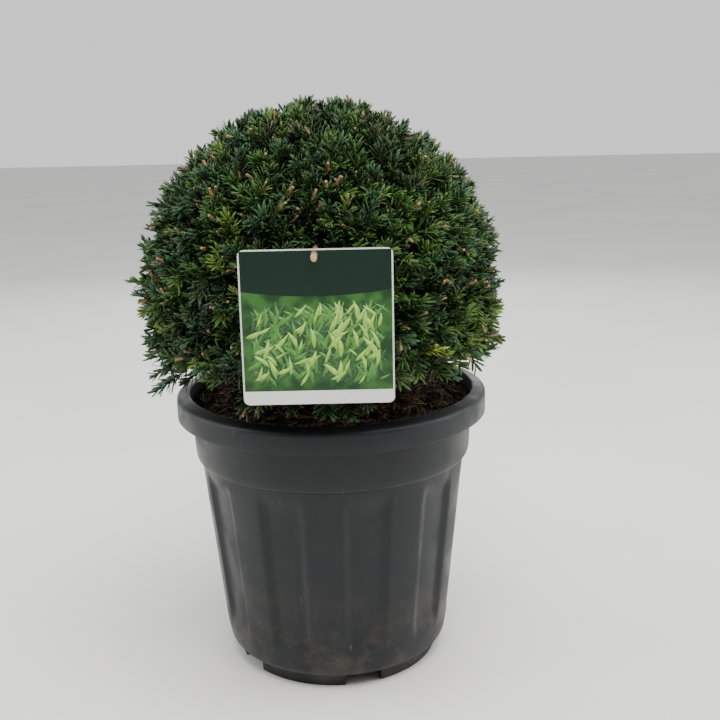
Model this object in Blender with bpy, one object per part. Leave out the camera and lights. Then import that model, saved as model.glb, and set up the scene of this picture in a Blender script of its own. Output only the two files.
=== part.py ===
"""A hybrid yew clipped to a ball, in a fluted nursery pot, with a hang label.

Metres, +Z up, the label's side towards -Y. The origin lies on the floor under
the middle of the whole plant's box. Everything is modelled round the pot's own
axis and hangs from an empty that stands on that axis. Angles are in degrees
from the front, positive towards +X.
"""
import math
import random

import bmesh
import bpy
import numpy as np
from mathutils import Vector

SEED = 41
GAP = 0.0003
UP = Vector((0, 0, 1))

# Where the pot's axis stands from the origin
POT_AXIS = (0.0121, 0.0068, 0.0)

# Pot: its rim with a turned-down lip, collar, tapered body and foot ring
RIM_R = 0.155
RIM_TOP = 0.279
RIM_LOW = 0.255
RIM_ROUND = 0.0025
RIM_SLOPE = 0.0032
LIP_WALL = 0.003
LIP_CEILING = 0.272
MOUTH_R = 0.1425
MOUTH_EDGE = 0.001
COLLAR_R = 0.1405
COLLAR_HEAD_R = 0.1430
COLLAR_LOW_R = 0.1385
COLLAR_LOW = 0.2115
COLLAR_STEP = 0.006
COLLAR_LEDGE = 0.0018
BODY_TOP_R = 0.1334
BODY_TAPER = 0.0993
HEEL_R = 0.1135
HEEL_HIGH = 0.019
FOOT_R = 0.1025
FOOT_STEP = 0.004
FOOT_DRAFT = 0.001
FOOT_WALL = 0.004
FOOT_HIGH = 0.012
FLOOR_TOP = 0.0155
FLOOR_THICK = 0.0025
WALL = 0.0028
FILLET = 0.0075

# Flutes: ten pressed channels round the body, and a notch in the foot under every other one
FLUTES = 10
FLUTE_PITCH = 360 / FLUTES
FLUTE_FIRST = -57.0
FLUTE_HALF = 10.5
FLUTE_FLOOR_HALF = 7.0
FLUTE_DEPTH = 0.0045
FLUTE_ENDS = (0.040, 0.060, 0.190, 0.206)
NOTCHES = FLUTES // 2
NOTCH_WIDTH = 0.036
NOTCH_FROM = 0.090
NOTCH_TO = 0.112
DRAIN_R = 0.007
DRAIN_RING = 0.070
DRAIN_SIDES = 10
CUT_PAST = 0.010

# Soil: a filled root ball with a low mound, flat under the trunk
SOIL_EDGE = 0.266
SOIL_TOP = 0.2705
SOIL_FLAT_R = 0.040
SOIL_LUMP = 0.002
SOIL_CLEAR = 0.0008
SOIL_SIDES = 30

# Trunk and boughs
TRUNK_TIP = 0.409
TRUNK_R = 0.0115
TRUNK_TIP_R = 0.0048
TRUNK_FLARE = 0.0085
FLARE_FALL = 16
TRUNK_LEAN = 0.004
TRUNK_SIDES = 10
TRUNK_STEPS = 6
PLUMB_SHARE = 0.03
BOUGH_ROOT_R = 0.0054
BOUGH_TIP_R = 0.0040
BOUGH_ROOT_HIGH = 0.298
BOUGH_ROOT_STEP = 0.013
BOUGH_SIDES = 7
BOUGH_STEPS = 4
BOUGH_SHORT = 0.001
BOUGH_STRAIGHT = 0.004
BOUGH_BEND = 0.024

# Crown: the clipped outline round its own axis, and the masses that share it
CROWN_X = -0.0067
CROWN_R = 0.1805
CROWN_WAIST = 0.388
CROWN_RISE = 0.1767
CROWN_DROP = 0.113
CROWN_CURVE = 1.92
CROWN_DROP_CURVE = 10
CORE_SHARE = 0.85
CORE_BUMP = 0.007
CORE_LOW = 0.301
SIDE_NAMES = ("front", "front_right", "back_right", "back", "back_left", "front_left")
SIDE_FIRST = -6.0
SIDE_SEED_R = 0.110
SIDE_SEED_HIGH = 0.372
SIDE_SEED_STEP = 0.006
TOP_SEED_HIGH = 0.494
HUB_SEED_HIGH = 0.325
CELL_GAP = 0.0010
SPRAY_GAP = 0.0006

# Sprays: toothed blades of needles, larger than life
SPRAY_DIRECTIONS = 284
LOWEST_SPRAY = -0.62
SPRAY_SINK = 0.012
SPRAY_HALF = 0.0150
SPRAY_RIB = 0.0032
SPRAY_THICK = 0.0013
SPRAY_LEAN = (40.0, 66.0)
SPRAY_RISE = 0.35
SPRAY_ROLL = 0.6
SPRAY_SIZES = (0.82, 1.12)
SPRAY_REACH = (0.970, 1.015)
SPRAY_LENGTHS = (0.020, 0.090)
SPRAY_TRIES = 24

# Shoots that the shears missed: angle, height and reach from the crown's axis
STRAY_SHOOTS = (
    (-90.0, 0.388, 0.1973),
    (-87.0, 0.376, 0.1925),
    (38.0, 0.452, 0.1840),
    (154.0, 0.402, 0.1900),
    (-152.0, 0.438, 0.1860),
    (97.0, 0.346, 0.1880),
    (-60.0, 0.470, 0.1750),
)
STRAY_SINK_SHARE = 0.06
STRAY_CLIMB = 0.012
STRAY_SIZE = 0.8

# Hang label and the cut twig that carries it
CARD_WIDE = 0.1255
CARD_LOW = 0.3129
CARD_HIGH = 0.4423
CARD_X = -0.0048
CARD_BACK = -0.1866
CARD_THICK = 0.0008
CARD_CORNER = 0.005
CARD_CLEAR = 0.0008
CARD_MARGIN = 0.005
TWIG_X = -0.0057
TWIG_Z = 0.4362
TWIG_HALVES = (0.0030, 0.0043)
TWIG_SIDES = 10
TWIG_ROOT_Y = -0.135
TWIG_TIP_Y = -0.193
TWIG_HOLE_CLEAR = 0.0006
TWIG_CLEAR = 0.0030
RIM_CLEAR = 0.0025


def clear_scene():
    """Remove whatever the file holds."""
    for item in list(bpy.data.objects):
        bpy.data.objects.remove(item, do_unlink=True)
    for mesh in list(bpy.data.meshes):
        bpy.data.meshes.remove(mesh)


def make_material(name, colour, roughness, metallic=0.0):
    """Return a Principled material."""
    material = bpy.data.materials.new(name)
    material.use_nodes = True
    shader = material.node_tree.nodes["Principled BSDF"]
    shader.inputs["Base Color"].default_value = (*colour, 1.0)
    shader.inputs["Roughness"].default_value = roughness
    shader.inputs["Metallic"].default_value = metallic
    material.diffuse_color = (*colour, 1.0)
    return material


def make_mesh(name, points, faces):
    """Return a mesh of points and faces."""
    mesh = bpy.data.meshes.new(name)
    mesh.from_pydata([tuple(point) for point in points], [], faces)
    mesh.update()
    return mesh


def add_object(name, mesh, material=None, parent=None):
    """Put a mesh in the scene as a named object."""
    item = bpy.data.objects.new(name, mesh)
    bpy.context.scene.collection.objects.link(item)
    if material is not None:
        mesh.materials.clear()
        mesh.materials.append(material)
    item.parent = parent
    return item


def as_cutter(item):
    """Mark an object as a tool that is no part of the model."""
    item.hide_render = True
    item.display_type = "WIRE"
    return item


def bake_modifiers(item):
    """Replace an object's mesh by the one its modifiers give."""
    bpy.context.view_layer.update()
    graph = bpy.context.evaluated_depsgraph_get()
    mesh = bpy.data.meshes.new_from_object(item.evaluated_get(graph), depsgraph=graph)
    item.modifiers.clear()
    item.data = mesh


def cut_by(item, cutter):
    """Cut one object by another, and remove the cutter."""
    modifier = item.modifiers.new("cut", "BOOLEAN")
    modifier.operation = "DIFFERENCE"
    modifier.solver = "EXACT"
    modifier.object = as_cutter(cutter)
    bake_modifiers(item)
    bpy.data.objects.remove(cutter, do_unlink=True)


def smooth(item, degrees=40):
    """Shade an object smooth up to an edge angle."""
    item.data.shade_smooth()
    item.data.set_sharp_from_angle(angle=math.radians(degrees))


def bearing(degrees, radius, height):
    """Return the point at an angle from the front, positive towards +X."""
    angle = math.radians(degrees)
    return Vector((radius * math.sin(angle), -radius * math.cos(angle), height))


def ring_solid(rows):
    """Return points and faces of closed rings, one above the other, with both ends capped."""
    around = len(rows[0])
    points = [point for row in rows for point in row]
    faces = []
    for low in range(len(rows) - 1):
        for side in range(around):
            near = low * around + side
            nearby = low * around + (side + 1) % around
            faces.append((near, nearby, nearby + around, near + around))
    faces.append(tuple(reversed(range(around))))
    last = (len(rows) - 1) * around
    faces.append(tuple(range(last, last + around)))
    return points, faces


def tube(path, radii, sides):
    """Return points and faces of a tapering limb along a path, with flat ends."""
    path = [Vector(point) for point in path]
    rows = []
    across = None
    for index, centre in enumerate(path):
        ahead = path[min(index + 1, len(path) - 1)] - path[max(index - 1, 0)]
        ahead.normalize()
        if across is None:
            across = ahead.orthogonal().normalized()
        across = (across - ahead * across.dot(ahead)).normalized()
        up = ahead.cross(across)
        row = []
        for side in range(sides):
            angle = 2 * math.pi * side / sides
            offset = across * math.cos(angle) + up * math.sin(angle)
            row.append(centre + offset * radii[index])
        rows.append(row)
    return ring_solid(rows)


def join_by_union(item, pieces):
    """Fuse pieces into an object by one union on their collection, then remove them."""
    group = bpy.data.collections.new(item.name + "_pieces")
    bpy.context.scene.collection.children.link(group)
    for piece in pieces:
        bpy.context.scene.collection.objects.unlink(piece)
        group.objects.link(piece)
    modifier = item.modifiers.new("fuse", "BOOLEAN")
    modifier.operation = "UNION"
    modifier.operand_type = "COLLECTION"
    modifier.collection = group
    modifier.solver = "EXACT"
    bake_modifiers(item)
    for piece in pieces:
        bpy.data.objects.remove(piece, do_unlink=True)
    bpy.data.collections.remove(group)
    keep_largest_shell(item)


def shell_of(start):
    """Return every vertex that edges join to a first one."""
    shell = {start}
    search = [start]
    while search:
        vertex = search.pop()
        for edge in vertex.link_edges:
            other = edge.other_vert(vertex)
            if other not in shell:
                shell.add(other)
                search.append(other)
    return shell


def keep_shell(item, choose):
    """Keep one shell of an object, picked by a rule, and drop the rest of it."""
    shape = bmesh.new()
    shape.from_mesh(item.data)
    bmesh.ops.dissolve_degenerate(shape, dist=1e-6, edges=shape.edges)
    left = list(shape.verts)
    shells = []
    while left:
        shell = shell_of(left[0])
        shells.append(shell)
        left = [vertex for vertex in left if vertex not in shell]
    kept = choose(shells)
    loose = [vertex for vertex in shape.verts if vertex not in kept]
    bmesh.ops.delete(shape, geom=loose, context="VERTS")
    bmesh.ops.triangulate(shape, faces=shape.faces)
    shape.to_mesh(item.data)
    shape.free()


def keep_largest_shell(item):
    """Fill sealed hollows and drop loose scraps: the largest shell stays."""
    keep_shell(item, lambda shells: max(shells, key=len))


def keep_outer_shell(item, tip):
    """Drop the stub that a cut leaves inside: the shell that reaches the tip stays."""
    def distance(shell):
        return min((vertex.co - tip).length for vertex in shell)
    keep_shell(item, lambda shells: min(shells, key=distance))


def body_radius(height):
    """Radius of the pot's tapered body at a height."""
    return BODY_TOP_R - BODY_TAPER * (COLLAR_LOW - height)


def pot_outside():
    """Profile of the pot's outside, from under its floor to its mouth: radius, height, flute share."""
    foot_in = FOOT_R - FOOT_WALL
    foot_out = FOOT_R + FOOT_DRAFT
    low, full_low, full_high, high = FLUTE_ENDS
    return (
        (foot_in, FLOOR_TOP - FLOOR_THICK, 0),
        (foot_in, 0.0, 0),
        (FOOT_R, 0.0, 0),
        (foot_out, FOOT_HIGH, 0),
        (foot_out + FOOT_STEP, FOOT_HIGH + FOOT_DRAFT, 0),
        (HEEL_R, HEEL_HIGH, 0),
        (body_radius(low), low, 0),
        (body_radius(full_low), full_low, 1),
        (body_radius(full_high), full_high, 1),
        (body_radius(high), high, 0),
        (BODY_TOP_R, COLLAR_LOW, 0),
        (BODY_TOP_R + COLLAR_LEDGE, COLLAR_LOW + GAP, 0),
        (COLLAR_LOW_R, COLLAR_LOW + COLLAR_STEP, 0),
        (COLLAR_R, RIM_LOW, 0),
        (COLLAR_HEAD_R, LIP_CEILING, 0),
        (RIM_R - LIP_WALL, LIP_CEILING - GAP, 0),
        (RIM_R - LIP_WALL, RIM_LOW, 0),
        (RIM_R, RIM_LOW, 0),
        (RIM_R, RIM_TOP - RIM_SLOPE - RIM_ROUND, 0),
        (RIM_R - RIM_ROUND, RIM_TOP - RIM_SLOPE, 0),
        (MOUTH_R, RIM_TOP, 0),
    )


def pot_inside():
    """Profile of the pot's inside, from its mouth down to its floor: radius, height."""
    inset = WALL + FLUTE_DEPTH - FOOT_DRAFT
    heel = FLOOR_TOP + FILLET
    return (
        (MOUTH_R - MOUTH_EDGE, RIM_TOP - MOUTH_EDGE),
        (COLLAR_R - WALL, RIM_LOW - 2 * WALL),
        (BODY_TOP_R - inset, COLLAR_LOW),
        (body_radius(heel) - inset, heel),
        (body_radius(heel) - inset - FILLET / 3, FLOOR_TOP),
    )


def flute_share(offset):
    """Depth share of a flute at an angle from its middle: 1 on its floor, 0 outside it."""
    slope = (FLUTE_HALF - abs(offset)) / (FLUTE_HALF - FLUTE_FLOOR_HALF)
    return min(1.0, max(0.0, slope))


def build_pot(material, parent):
    """Nursery pot: a turned shell with flutes, a notched foot ring and drain holes."""
    offsets = (-FLUTE_HALF, -FLUTE_FLOOR_HALF, 0.0, FLUTE_FLOOR_HALF, FLUTE_HALF, FLUTE_PITCH / 2)
    columns = []
    for flute in range(FLUTES):
        for offset in offsets:
            columns.append((FLUTE_FIRST + flute * FLUTE_PITCH + offset, flute_share(offset)))
    profile = pot_outside() + tuple((radius, height, 0) for radius, height in pot_inside())
    rows = []
    for radius, height, fluted in profile:
        depth = FLUTE_DEPTH * fluted
        rows.append([bearing(angle, radius - depth * share, height) for angle, share in columns])
    pot = add_object("pot", make_mesh("pot", *ring_solid(rows)), material, parent)

    cuts = []
    for notch in range(NOTCHES):
        angle = FLUTE_FIRST + notch * 360 / NOTCHES
        cuts.append(notch_cut(angle))
        cuts.append(drain_cut(angle + FLUTE_PITCH))
    cutter = add_object("pot_cuts", make_mesh("pot_cuts", *side_by_side(cuts)), None, parent)
    cut_by(pot, cutter)
    smooth(pot, 30)
    return pot


def notch_cut(angle):
    """Points and faces of the block that opens a notch in the foot ring."""
    out = bearing(angle, 1.0, 0.0)
    side = bearing(angle + 90, NOTCH_WIDTH / 2, 0.0)
    corners = (
        out * NOTCH_FROM - side,
        out * NOTCH_TO - side,
        out * NOTCH_TO + side,
        out * NOTCH_FROM + side,
    )
    rows = []
    for height in (-CUT_PAST, FOOT_HIGH - GAP):
        rows.append([corner + UP * height for corner in corners])
    return ring_solid(rows)


def drain_cut(angle):
    """Points and faces of the rod that opens a drain hole in the floor."""
    centre = bearing(angle, DRAIN_RING, 0.0)
    rows = []
    for height in (FLOOR_TOP - CUT_PAST, FLOOR_TOP + CUT_PAST):
        turns = range(DRAIN_SIDES)
        rows.append([centre + bearing(turn * 360 / DRAIN_SIDES, DRAIN_R, height) for turn in turns])
    return ring_solid(rows)


def side_by_side(solids):
    """Return several solids' points and faces as one list of each."""
    points = []
    faces = []
    for more_points, more_faces in solids:
        start = len(points)
        points.extend(more_points)
        faces.extend(tuple(start + index for index in face) for face in more_faces)
    return points, faces


def build_soil(material, parent):
    """Root ball that fills the pot: a turned solid with a low, lumpy mound."""
    rng = random.Random(SEED)
    mouth, collar, shoulder, heel, floor = pot_inside()
    rise = (SOIL_EDGE - collar[1]) / (mouth[1] - collar[1])
    edge_r = collar[0] + (mouth[0] - collar[0]) * rise - SOIL_CLEAR
    profile = [
        (floor[0] - SOIL_CLEAR, floor[1] + SOIL_CLEAR, 0.0),
        (heel[0] - SOIL_CLEAR, heel[1] + SOIL_CLEAR, 0.0),
        (shoulder[0] - SOIL_CLEAR, shoulder[1], 0.0),
        (collar[0] - SOIL_CLEAR, collar[1], 0.0),
        (edge_r, SOIL_EDGE, SOIL_LUMP / 4),
    ]
    for share in (0.2, 0.55):
        radius = edge_r + (SOIL_FLAT_R - edge_r) * share
        profile.append((radius, SOIL_EDGE + (SOIL_TOP - SOIL_EDGE) * share, SOIL_LUMP))
    profile.append((SOIL_FLAT_R, SOIL_TOP, 0.0))
    rows = []
    for radius, height, lump in profile:
        row = []
        for side in range(SOIL_SIDES):
            angle = side * 360 / SOIL_SIDES
            row.append(bearing(angle, radius, height + lump * rng.uniform(-1, 1)))
        rows.append(row)
    soil = add_object("soil", make_mesh("soil", *ring_solid(rows)), material, parent)
    smooth(soil, 50)
    return soil


def trunk_axis(height):
    """Return the middle of the leaning trunk at a height."""
    along = (height - SOIL_TOP) / (TRUNK_TIP - SOIL_TOP)
    bowed = (along - PLUMB_SHARE) / (1 - 2 * PLUMB_SHARE)
    sway = TRUNK_LEAN * math.sin(math.pi * min(1.0, max(0.0, bowed)))
    return Vector((CROWN_X + sway, sway / 2, height))


def trunk_shape(swell=0.0):
    """Points and faces of the trunk, from its flat cut on the soil to its tip."""
    foot = SOIL_TOP + GAP - swell
    tip = TRUNK_TIP + swell
    path = []
    radii = []
    plumb = PLUMB_SHARE * 2 / 3
    shares = [(step / TRUNK_STEPS) ** 1.4 for step in range(1, TRUNK_STEPS)]
    for along in [0.0, plumb] + shares + [1 - plumb, 1.0]:
        path.append(trunk_axis(foot + (tip - foot) * along))
        flare = TRUNK_FLARE * math.exp(-along * FLARE_FALL)
        radii.append(TRUNK_R + (TRUNK_TIP_R - TRUNK_R) * along + flare + swell)
    return tube(path, radii, TRUNK_SIDES)


def build_trunk(material, parent):
    """Short trunk that flares at the soil and runs up into the crown."""
    trunk = add_object("trunk", make_mesh("trunk", *trunk_shape()), material, parent)
    smooth(trunk, 50)
    return trunk


def crown_point(degrees, radius, height):
    """Return the point at an angle and radius from the crown's own axis."""
    return bearing(degrees, radius, height) + Vector((CROWN_X, 0, 0))


def crown_radius(height):
    """Radius of the clipped outline at a height: round above its waist, squarer below."""
    rise = height - CROWN_WAIST
    if rise >= 0:
        share = (rise / CROWN_RISE) ** CROWN_CURVE
    else:
        share = (-rise / CROWN_DROP) ** CROWN_DROP_CURVE
    return CROWN_R * math.sqrt(max(0.0, 1.0 - share))


def outline_reach(direction):
    """Distance from the crown's middle to its clipped outline, found by halving."""
    low = 0.0
    high = CROWN_R * 1.2
    flat = math.hypot(direction.x, direction.y)
    for _ in range(30):
        middle = (low + high) / 2
        if flat * middle < crown_radius(CROWN_WAIST + direction.z * middle):
            low = middle
        else:
            high = middle
    return low


class Cell:
    """The space that one mass of the crown keeps to: nearer to its seed than to any other."""

    def __init__(self, name, seed, others):
        """Work out the planes halfway to the other seeds."""
        self.name = name
        self.seed = seed
        self.planes = []
        for other in others:
            away = (other - seed).normalized()
            self.planes.append(((seed + other) / 2, away))

    def holds(self, point, inset):
        """Say whether a point lies inside by at least the inset."""
        return all((point - middle).dot(away) < -inset for middle, away in self.planes)

    def trim(self, shape, inset):
        """Cut a closed mesh down to this space."""
        planes = [(middle - away * inset, away) for middle, away in self.planes]
        planes.append((UP * CORE_LOW, -UP))
        for middle, away in planes:
            everything = list(shape.verts) + list(shape.edges) + list(shape.faces)
            bmesh.ops.bisect_plane(
                shape, geom=everything, dist=1e-6, plane_co=middle, plane_no=away, clear_outer=True
            )
            rim = [edge for edge in shape.edges if edge.is_boundary]
            if rim:
                bmesh.ops.holes_fill(shape, edges=rim, sides=0)


def crown_cells():
    """Return the masses' cells, side masses first and the top last, and the hub between them."""
    seeds = {}
    for index, name in enumerate(SIDE_NAMES):
        angle = SIDE_FIRST + index * 360 / len(SIDE_NAMES)
        height = SIDE_SEED_HIGH + SIDE_SEED_STEP * (index % 2)
        seeds["mass_" + name] = crown_point(angle, SIDE_SEED_R, height)
    seeds["mass_top"] = crown_point(0, 0, TOP_SEED_HIGH)
    hub = crown_point(0, 0, HUB_SEED_HIGH)
    cells = []
    for name, seed in seeds.items():
        others = [other for other_name, other in seeds.items() if other_name != name]
        cells.append(Cell(name, seed, [hub] + others))
    return cells, hub


def meeting_point(cell, hub):
    """Where the limb from the hub crosses into a cell, and the way it goes."""
    way = (cell.seed - hub).normalized()
    return (cell.seed + hub) / 2, way


def bough_path(cell, hub, index):
    """Route of a bough from inside the trunk to the edge of its cell, ending straight."""
    meets, way = meeting_point(cell, hub)
    tip = meets - way * BOUGH_SHORT
    root = trunk_axis(BOUGH_ROOT_HIGH + BOUGH_ROOT_STEP * (index % 2))
    last = tip - way * BOUGH_STRAIGHT
    bend = tip - way * BOUGH_BEND
    path = []
    for step in range(BOUGH_STEPS + 1):
        share = step / BOUGH_STEPS
        rest = 1 - share
        path.append(root * rest ** 2 + bend * 2 * share * rest + last * share ** 2)
    path.append(tip)
    return path


def build_boughs(cells, hub, material, parent):
    """One tapering bough to each side mass, cut clear of the trunk."""
    boughs = []
    for index, cell in enumerate(cells[:-1]):
        path = bough_path(cell, hub, index)
        radii = np.linspace(BOUGH_ROOT_R, BOUGH_TIP_R, len(path))
        name = cell.name.replace("mass", "bough")
        bough = add_object(name, make_mesh(name, *tube(path, radii, BOUGH_SIDES)), material, parent)
        cutter = add_object("cutter", make_mesh("cutter", *trunk_shape(GAP)), None, parent)
        cut_by(bough, cutter)
        keep_outer_shell(bough, path[-1])
        smooth(bough, 50)
        boughs.append(bough)
    return boughs


def core_shape(cell):
    """Closed mesh of a mass's core: the crown's outline drawn in, trimmed to the cell."""
    rng = random.Random(SEED)
    shape = bmesh.new()
    bmesh.ops.create_icosphere(shape, subdivisions=3, radius=1.0)
    middle = crown_point(0, 0, CROWN_WAIST)
    for vertex in shape.verts:
        way = vertex.co.normalized()
        reach = outline_reach(way) * CORE_SHARE + CORE_BUMP * rng.uniform(-1, 1)
        vertex.co = middle + way * reach
    cell.trim(shape, CELL_GAP)
    bmesh.ops.remove_doubles(shape, verts=shape.verts, dist=1e-5)
    bmesh.ops.recalc_face_normals(shape, faces=shape.faces)
    return shape


def blade(root, tip, facing, half_width):
    """Points and faces of a flat toothed blade: a spray of needles in two ranks."""
    length = (tip - root).length
    ahead = (tip - root) / length
    facing = (facing - ahead * facing.dot(ahead)).normalized()
    across = ahead.cross(facing)
    outline = (
        (0.0, SPRAY_RIB * 1.5),
        (0.57, half_width),
        (0.41, SPRAY_RIB),
        (0.82, half_width * 0.66),
        (0.70, SPRAY_RIB * 0.7),
    )
    ring = [root + ahead * along * length + across * out for along, out in outline]
    ring.append(tip)
    for along, out in reversed(outline):
        ring.append(root + ahead * along * length - across * out)
    rows = []
    for side in (-0.5, 0.5):
        rows.append([point + facing * SPRAY_THICK * side for point in ring])
    return ring_solid(rows)


def clear_of_pot(point):
    """Say whether a point keeps off the pot's rim and the soil."""
    flat = math.hypot(point.x, point.y)
    if flat > RIM_R + RIM_CLEAR:
        return point.z > SOIL_TOP
    return point.z > RIM_TOP + RIM_CLEAR


def clear_of_label(point):
    """Say whether a point keeps off the label card and the twig that carries it."""
    across = abs(point.x - CARD_X) < CARD_WIDE / 2 + CARD_MARGIN
    upright = CARD_LOW - CARD_MARGIN < point.z < CARD_HIGH + CARD_MARGIN
    if across and upright and point.y < CARD_BACK + CARD_CLEAR:
        return False
    aside = math.hypot(point.x - TWIG_X, point.z - TWIG_Z)
    return point.y > 0 or aside > max(TWIG_HALVES) + TWIG_CLEAR


def inside_space(cell, points):
    """Say whether a piece keeps to its cell and off everything that is not its mass."""
    middle = sum(points, Vector()) / len(points)
    tests = list(points)
    tests += [(point + middle) / 2 for point in points]
    tests += [(a + b) / 2 for a, b in zip(points, points[1:])]
    for point in tests:
        if not cell.holds(point, SPRAY_GAP):
            return False
        if not clear_of_pot(point) or not clear_of_label(point):
            return False
    return True


def even_directions(count):
    """Directions spread evenly over a sphere, on a golden spiral."""
    golden = math.pi * (3 - math.sqrt(5))
    directions = []
    for index in range(count):
        height = 1 - 2 * (index + 0.5) / count
        flat = math.sqrt(1 - height * height)
        angle = golden * index
        directions.append(Vector((flat * math.cos(angle), flat * math.sin(angle), height)))
    return directions


def elbow_room(points, grown):
    """Distance from a new spray's points to the sprays that are there already."""
    if not grown:
        return 1.0
    new = np.array([point[:] for point in points])
    old = np.concatenate(grown)
    return float(np.linalg.norm(new[:, None, :] - old[None, :, :], axis=2).min())


def spray_root(cell, way):
    """Point inside the core, and inside its cell, that a spray grows from."""
    middle = crown_point(0, 0, CROWN_WAIST)
    surface = middle + way * outline_reach(way) * CORE_SHARE
    surface.z = max(surface.z, CORE_LOW + SPRAY_RIB)
    root = surface - way * SPRAY_SINK
    for plane_middle, away in cell.planes:
        over = (root - plane_middle).dot(away) + CELL_GAP + SPRAY_RIB
        if over > 0:
            root = root - away * over
    return root


def outline_length(root, aim, share):
    """Length of a blade that starts at a root and ends on a share of the clipped outline."""
    middle = crown_point(0, 0, CROWN_WAIST)
    length, longest = SPRAY_LENGTHS
    while length < longest:
        offset = root + aim * length - middle
        if offset.length > outline_reach(offset.normalized()) * share:
            break
        length += 0.001
    return length


def grow_spray(cell, way, rng, grown):
    """Blade that leans out of the core to the clipped outline, where it has most elbow room."""
    root = spray_root(cell, way)
    side = way.orthogonal().normalized()
    best = None
    best_room = 0.0
    for attempt in range(SPRAY_TRIES):
        lean = math.radians(rng.uniform(*SPRAY_LEAN)) * (1 - 0.5 * attempt / SPRAY_TRIES)
        turn = rng.uniform(0, 2 * math.pi)
        slant = side * math.cos(turn) + way.cross(side) * math.sin(turn)
        slant = (slant + UP * SPRAY_RISE).normalized()
        aim = (way * math.cos(lean) + slant * math.sin(lean)).normalized()
        length = outline_length(root, aim, rng.uniform(*SPRAY_REACH))
        half = SPRAY_HALF * rng.uniform(*SPRAY_SIZES)
        facing = way + side * rng.uniform(-SPRAY_ROLL, SPRAY_ROLL)
        points, faces = blade(root, root + aim * length, facing, half)
        if inside_space(cell, points):
            room = elbow_room(points, grown)
            if room > best_room:
                best_room = room
                best = (points, faces)
    if best is not None:
        grown.append(np.array([point[:] for point in best[0]]))
    return best


def grow_stray(cell, angle, height, reach):
    """Slim blade that stands out of the clipped outline, or None where it has no room."""
    tip = crown_point(angle, reach, height)
    middle = crown_point(0, 0, CROWN_WAIST)
    way = (tip - middle).normalized()
    base = middle + way * outline_reach(way) * (CORE_SHARE - STRAY_SINK_SHARE) - UP * STRAY_CLIMB
    points, faces = blade(base, tip, UP, SPRAY_HALF * STRAY_SIZE)
    if inside_space(cell, points):
        return points, faces
    return None


def stem_shape(cell, hub):
    """Points and faces of a mass's stem, from 0.3 mm off its limb's tip into the core."""
    if cell.name == "mass_top":
        root = crown_point(0, 0, TRUNK_TIP + GAP)
        return tube((root, cell.seed), (TRUNK_TIP_R, TRUNK_TIP_R / 2), BOUGH_SIDES)
    meets, way = meeting_point(cell, hub)
    root = meets - way * (BOUGH_SHORT - GAP)
    return tube((root, cell.seed), (BOUGH_TIP_R, BOUGH_TIP_R / 2), BOUGH_SIDES)


def build_masses(cells, hub, material, parent):
    """The crown: each mass is a core with its stem and toothed sprays fused on."""
    masses = []
    directions = [way for way in even_directions(SPRAY_DIRECTIONS) if way.z > LOWEST_SPRAY]
    middle = crown_point(0, 0, CROWN_WAIST)
    grown = []
    for number, cell in enumerate(cells):
        rng = random.Random(SEED + 100 * number)
        shape = core_shape(cell)
        mesh = bpy.data.meshes.new(cell.name)
        shape.to_mesh(mesh)
        shape.free()
        mass = add_object(cell.name, mesh, material, parent)
        solids = [stem_shape(cell, hub)]
        for way in directions:
            surface = middle + way * outline_reach(way) * CORE_SHARE
            if cell.holds(surface, 0.0):
                solids.append(grow_spray(cell, way, rng, grown))
        for angle, height, reach in STRAY_SHOOTS:
            if cell.holds(crown_point(angle, reach, height), SPRAY_GAP):
                solids.append(grow_stray(cell, angle, height, reach))
        pieces = []
        for solid in solids:
            if solid is not None:
                pieces.append(add_object("piece", make_mesh("piece", *solid), None, parent))
        join_by_union(mass, pieces)
        masses.append(mass)
    return masses


def card_outline():
    """Corners of the label card, rounded by arcs, anticlockwise seen from the front."""
    half = CARD_WIDE / 2 - CARD_CORNER
    low = CARD_LOW + CARD_CORNER
    high = CARD_HIGH - CARD_CORNER
    corners = ((half, low, -90), (half, high, 0), (-half, high, 90), (-half, low, 180))
    outline = []
    for x, z, first in corners:
        for step in range(5):
            angle = math.radians(first + 22.5 * step)
            outline.append((
                CARD_X + x + CARD_CORNER * math.cos(angle),
                z + CARD_CORNER * math.sin(angle),
            ))
    return outline


def build_label(material, parent):
    """Hang label: a thin card with round corners and a hole for its twig."""
    rows = []
    for depth in (CARD_BACK, CARD_BACK - CARD_THICK):
        rows.append([Vector((x, depth, z)) for x, z in card_outline()])
    card = add_object("label_card", make_mesh("label_card", *ring_solid(rows)), material, parent)
    hole = twig_shape(TWIG_HOLE_CLEAR, CUT_PAST)
    cutter = add_object("cutter", make_mesh("cutter", *hole), None, parent)
    cut_by(card, cutter)
    smooth(card, 30)
    return card


def twig_shape(swell=0.0, further=0.0):
    """Points and faces of the cut twig: an upright oval drawn out towards the front."""
    wide, high = TWIG_HALVES
    rows = []
    for depth in (TWIG_ROOT_Y, CARD_BACK, TWIG_TIP_Y - further):
        row = []
        for side in range(TWIG_SIDES):
            angle = 2 * math.pi * side / TWIG_SIDES
            x = TWIG_X + (wide + swell) * math.cos(angle)
            z = TWIG_Z + (high + swell) * math.sin(angle)
            row.append(Vector((x, depth, z)))
        rows.append(row)
    return ring_solid(rows)


def build_twig(front_mass, material, parent):
    """Cut end of the twig that the label hangs from, fitted to the front mass's core."""
    twig = add_object("label_twig", make_mesh("label_twig", *twig_shape()), material, parent)
    cutter = add_object("cutter", front_mass.data.copy(), None, parent)
    cutter.location = (0, -GAP, 0)
    cut_by(twig, cutter)
    keep_outer_shell(twig, Vector((TWIG_X, TWIG_TIP_Y, TWIG_Z)))
    smooth(twig, 50)
    return twig


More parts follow.
